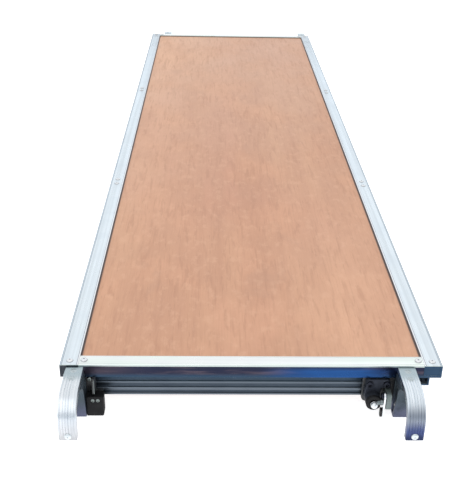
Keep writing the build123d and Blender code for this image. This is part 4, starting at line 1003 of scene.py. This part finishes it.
def make_plunger():
    radius, length = PLUNGER.tall / 2, PLUNGER.long
    neck = length - radius
    nose = [(radius * cos(t), neck + radius * sin(t)) for t in (pi / 2 * k / 14 for k in range(14))]
    rings = [(0.0, 0.0), (radius - 0.5, 0.0), (radius, 0.5), (radius, neck - 1.4),
             (radius - 0.25, neck - 1.2), (radius - 0.25, neck - 0.7),
             (radius, neck - 0.5), *nose, (0.0, length)]
    form = lathe(rings, point(PLUNGER.x, PLUNGER.back, LOCK_BELOW), FORWARD, 48)
    both_ends("plunger_turned", [form], BRIGHT, "lock_plunger")

    radius, length = PIN.tall / 2, PIN.wide
    rings = [(0.0, 0.0), (radius - 0.4, 0.0), (radius, 0.4), (radius, length - 0.5), (radius - 0.5, length),
             (0.0, length)]
    form = lathe(rings, point(PIN.x0, PIN.ahead, PIN.below), (1, 0, 0), 36)
    both_ends("release_pin", [form], ROLLER, "lock_cross_pin")

    radius, length = BUSH.tall / 2, BUSH.wide
    inner, sunk = PIN.tall / 2, radius - 0.5
    rings = [(inner, 0.0), (sunk, 0.0), (radius, 0.5), (radius, length * 0.3), (sunk, length * 0.36),
             (sunk, length * 0.44), (radius, length * 0.5), (radius, length - 0.5), (sunk, length),
             (inner, length)]
    form = lathe(rings, point(BUSH.x0, BUSH.ahead, BUSH.below), (1, 0, 0), 48, closed=True)
    both_ends("release_pin_roller", [form], ROLLER, "cross_pin_bush")


def lever_shape(top_half, tail_half, tail, top=None):
    """The lever from the side: round about its pivot, tapering to a round tail. top cuts it off level."""
    x, low = PIVOT_AHEAD, -tail + tail_half
    foot = arc(x, low, tail_half, 180, 360, 16)
    if top is None:
        return arc(x, -PIVOT_BELOW, top_half, 0, 180, 20) + foot
    half = top_half + (tail_half - top_half) * (top - PIVOT_BELOW) / (-low - PIVOT_BELOW)
    return rounded([(x + half, -top, 1.2), (x - half, -top, 1.2), *[(u, v, 0) for u, v in foot]])


def make_lever():
    half, tail_half, slot_half = LEVER.long / 2, LEVER.long / 2 - 1.0, 2.75
    hole = arc(PIVOT_AHEAD, -PIVOT_BELOW, 2.55, 0, 345, 23)
    # the pin moves straight along the deck, so it runs down the slot as the lever swings
    swing = radians(JOINTS["near_lever_hinge"]["range_deg"][1])
    slot_low = PIVOT_BELOW + (PIN.below - PIVOT_BELOW) / cos(swing)
    slot = arc(PIVOT_AHEAD, -PIN.below, slot_half, 0, 180, 12)
    slot += arc(PIVOT_AHEAD, -slot_low, slot_half, 180, 360, 12)
    shape = lever_shape(half, tail_half, LEVER.bottom)
    form = slab([shape, hole, slot], side_plane(LEVER.x1), LEVER.wide, 0.3)
    both_ends("lever_stamping", [form], BRIGHT, "lock_lever")

    e = near("lever_grip")
    forms = [slab([lever_shape(half, tail_half, e.bottom, e.top)], side_plane(e.x1), e.wide, 0.7, 4)]
    ribs, pitch, reach = 4, 2.3, 2.4
    for k in range(ribs):
        low = e.top + 2.4 + k * pitch
        rib = box_outline(PIVOT_AHEAD - reach, PIVOT_AHEAD + reach, low, low + 1.0, 0.45)
        forms.append(slab([rib], side_plane(e.x0 + 1.0), 1.0, 0.3))
    both_ends("lever_thumb_pad", forms, GRIP, "lever_grip")


def make_pivot():
    e = near("lever_pivot_screw")
    radius, head = e.tall / 2, 2.8
    origin = point(e.x0 + head, e.ahead, e.below)
    forms = [socket_head(origin, (-1, 0, 0), radius, head),
             lathe([(2.5, 0.0), (2.5, e.wide - head)], origin, (1, 0, 0))]
    both_ends("lever_shoulder_screw", forms, OXIDE, "lever_pivot_screw")


def make_lug():
    e = near("lock_guide_lug")
    outline = box_outline(e.back, e.front, e.top, e.bottom, 0.5, 3.0)
    slot_half = PIN.tall / 2 + 0.1
    slot = arc(PIN.ahead, -PIN.below, slot_half, -90, 90, 12)
    slot += arc(PIN.ahead - TRAVEL, -PIN.below, slot_half, 90, 270, 12)
    pin_depth = PIN.x1 + 0.5 - e.x0
    forms = [slab([outline, slot], side_plane(e.x0 + pin_depth), pin_depth, 0.6, 3),
             slab([outline], side_plane(e.x1), e.wide - pin_depth + 0.8, 0.6, 3)]
    both_ends("guide_lug_casting", forms, LOCK_CAST, "lock_guide_lug")


def make_spring():
    """Wound wire with its end coils closed up."""
    e = near("lock_spring")
    wire, turns, steps = 0.45, 6.5, 24
    radius, length = e.wide / 2 - wire, e.long - 2 * wire
    path = []
    for k in range(int(turns * steps) + 1):
        share, turn = k / (turns * steps), 2 * pi * k / steps
        ahead = e.back + wire + length * (share - 0.06 * sin(2 * pi * share))
        path.append(point(e.x + radius * cos(turn), ahead, e.below - radius * sin(turn)))
    here, there = both_ends("lock_spring_wound", [tube(path, wire)], SPRING, "lock_spring")
    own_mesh(here)
    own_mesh(there)


# ---- putting it together ----
def make_object():
    # these CAD nodes keep their shape, and get a material only
    for node, material in (
        ("plywood_deck", PLYWOOD), ("frame_cleats", UNDER), ("cleat_rivets", RIVET),
        ("deck_bearing_strips", RUBBER), ("near_lock_end_plug", BARREL_CAST),
        ("far_lock_end_plug", BARREL_CAST),
    ):
        give(frame["nodes"][node].data, material)
    for make in (make_rails, make_trims, make_beams, make_cross_members, make_end_caps, make_frame_rivets):
        make()
    for kind, material in (("outer", OUTER_HOOK), ("inner", INNER_HOOK)):
        make_strap(kind, material)
        make_leg(kind)
    make_hook_rivets()
    make_hook_bolts()
    make_cap_screws("plate_screws", "plate_screw_set", DULL_ZINC)
    make_cap_screws("lock_screws", "lock_screw_set", OXIDE)
    for make in (make_plates, make_buffer, make_housing, make_collar, make_plunger, make_lever,
                 make_pivot, make_lug, make_spring):
        make()


# ---- studio ----
def make_floor():
    half = 7.0
    bm = bmesh.new()
    bmesh.ops.create_grid(bm, x_segments=8, y_segments=8, size=half)
    mesh = to_mesh(bm)
    floor = added("studio_floor", mesh)
    paper = Finish("studio_paper", 0.9)
    shade = paper.noise(3, 2, 0.5)
    paper.set("Base Color", paper.mix(shade, (0.73, 0.73, 0.74), (0.77, 0.77, 0.775)))
    paper.set("Emission Color", (1.0, 1.0, 1.0))
    paper.set("Emission Strength", 0.78)
    mesh.materials.append(paper.material)


def make_lights():
    world = bpy.data.worlds.new("studio")
    world.use_nodes = True
    tree = world.node_tree
    ramp = tree.nodes.new("ShaderNodeValToRGB")
    stops = ((0.0, (0.88, 0.94, 1.0, 1)), (0.6, (1.0, 1.0, 1.0, 1)))
    for element, (position, colour) in zip(ramp.color_ramp.elements, stops):
        element.position, element.color = position, colour
    height = tree.nodes.new("ShaderNodeSeparateXYZ")
    tree.links.new(tree.nodes.new("ShaderNodeTexCoord").outputs["Generated"], height.inputs[0])
    tree.links.new(height.outputs[2], ramp.inputs[0])
    tree.links.new(ramp.outputs[0], tree.nodes["Background"].inputs["Color"])
    tree.nodes["Background"].inputs["Strength"].default_value = 1.08
    bpy.context.scene.world = world
    light = bpy.data.lights.new("key_softbox", "AREA")
    light.shape, light.size, light.energy = "SQUARE", 3.6, 20.0
    lamp = added("key_softbox", light)
    lamp.location = (-1.3, -2.9, 2.9)
    lamp.rotation_euler = (-lamp.location).to_track_quat("-Z", "Y").to_euler()


def make_camera():
    """Standing at the near end, a little left of the middle, looking down along the deck."""
    ahead, above, aside = 0.866, 0.615, -0.051
    pitch, yaw, roll = radians(27.08), radians(1.87), radians(1.29)
    forward = Vector((sin(yaw) * cos(pitch), cos(yaw) * cos(pitch), -sin(pitch)))
    right = Vector((cos(yaw), -sin(yaw), 0))
    up = right.cross(forward)
    right, up = (right * cos(roll) + up * sin(roll), up * cos(roll) - right * sin(roll))
    camera = added("camera", bpy.data.cameras.new("camera"))
    camera.data.lens = 62.6
    camera.matrix_world = Matrix((right, up, -forward)).transposed().to_4x4()
    camera.location = (aside, END_Y - ahead, TOP_Z + above)
    bpy.context.scene.camera = camera


bpy.context.scene.view_settings.view_transform = "Standard"
make_object()
make_floor()
make_lights()
make_camera()
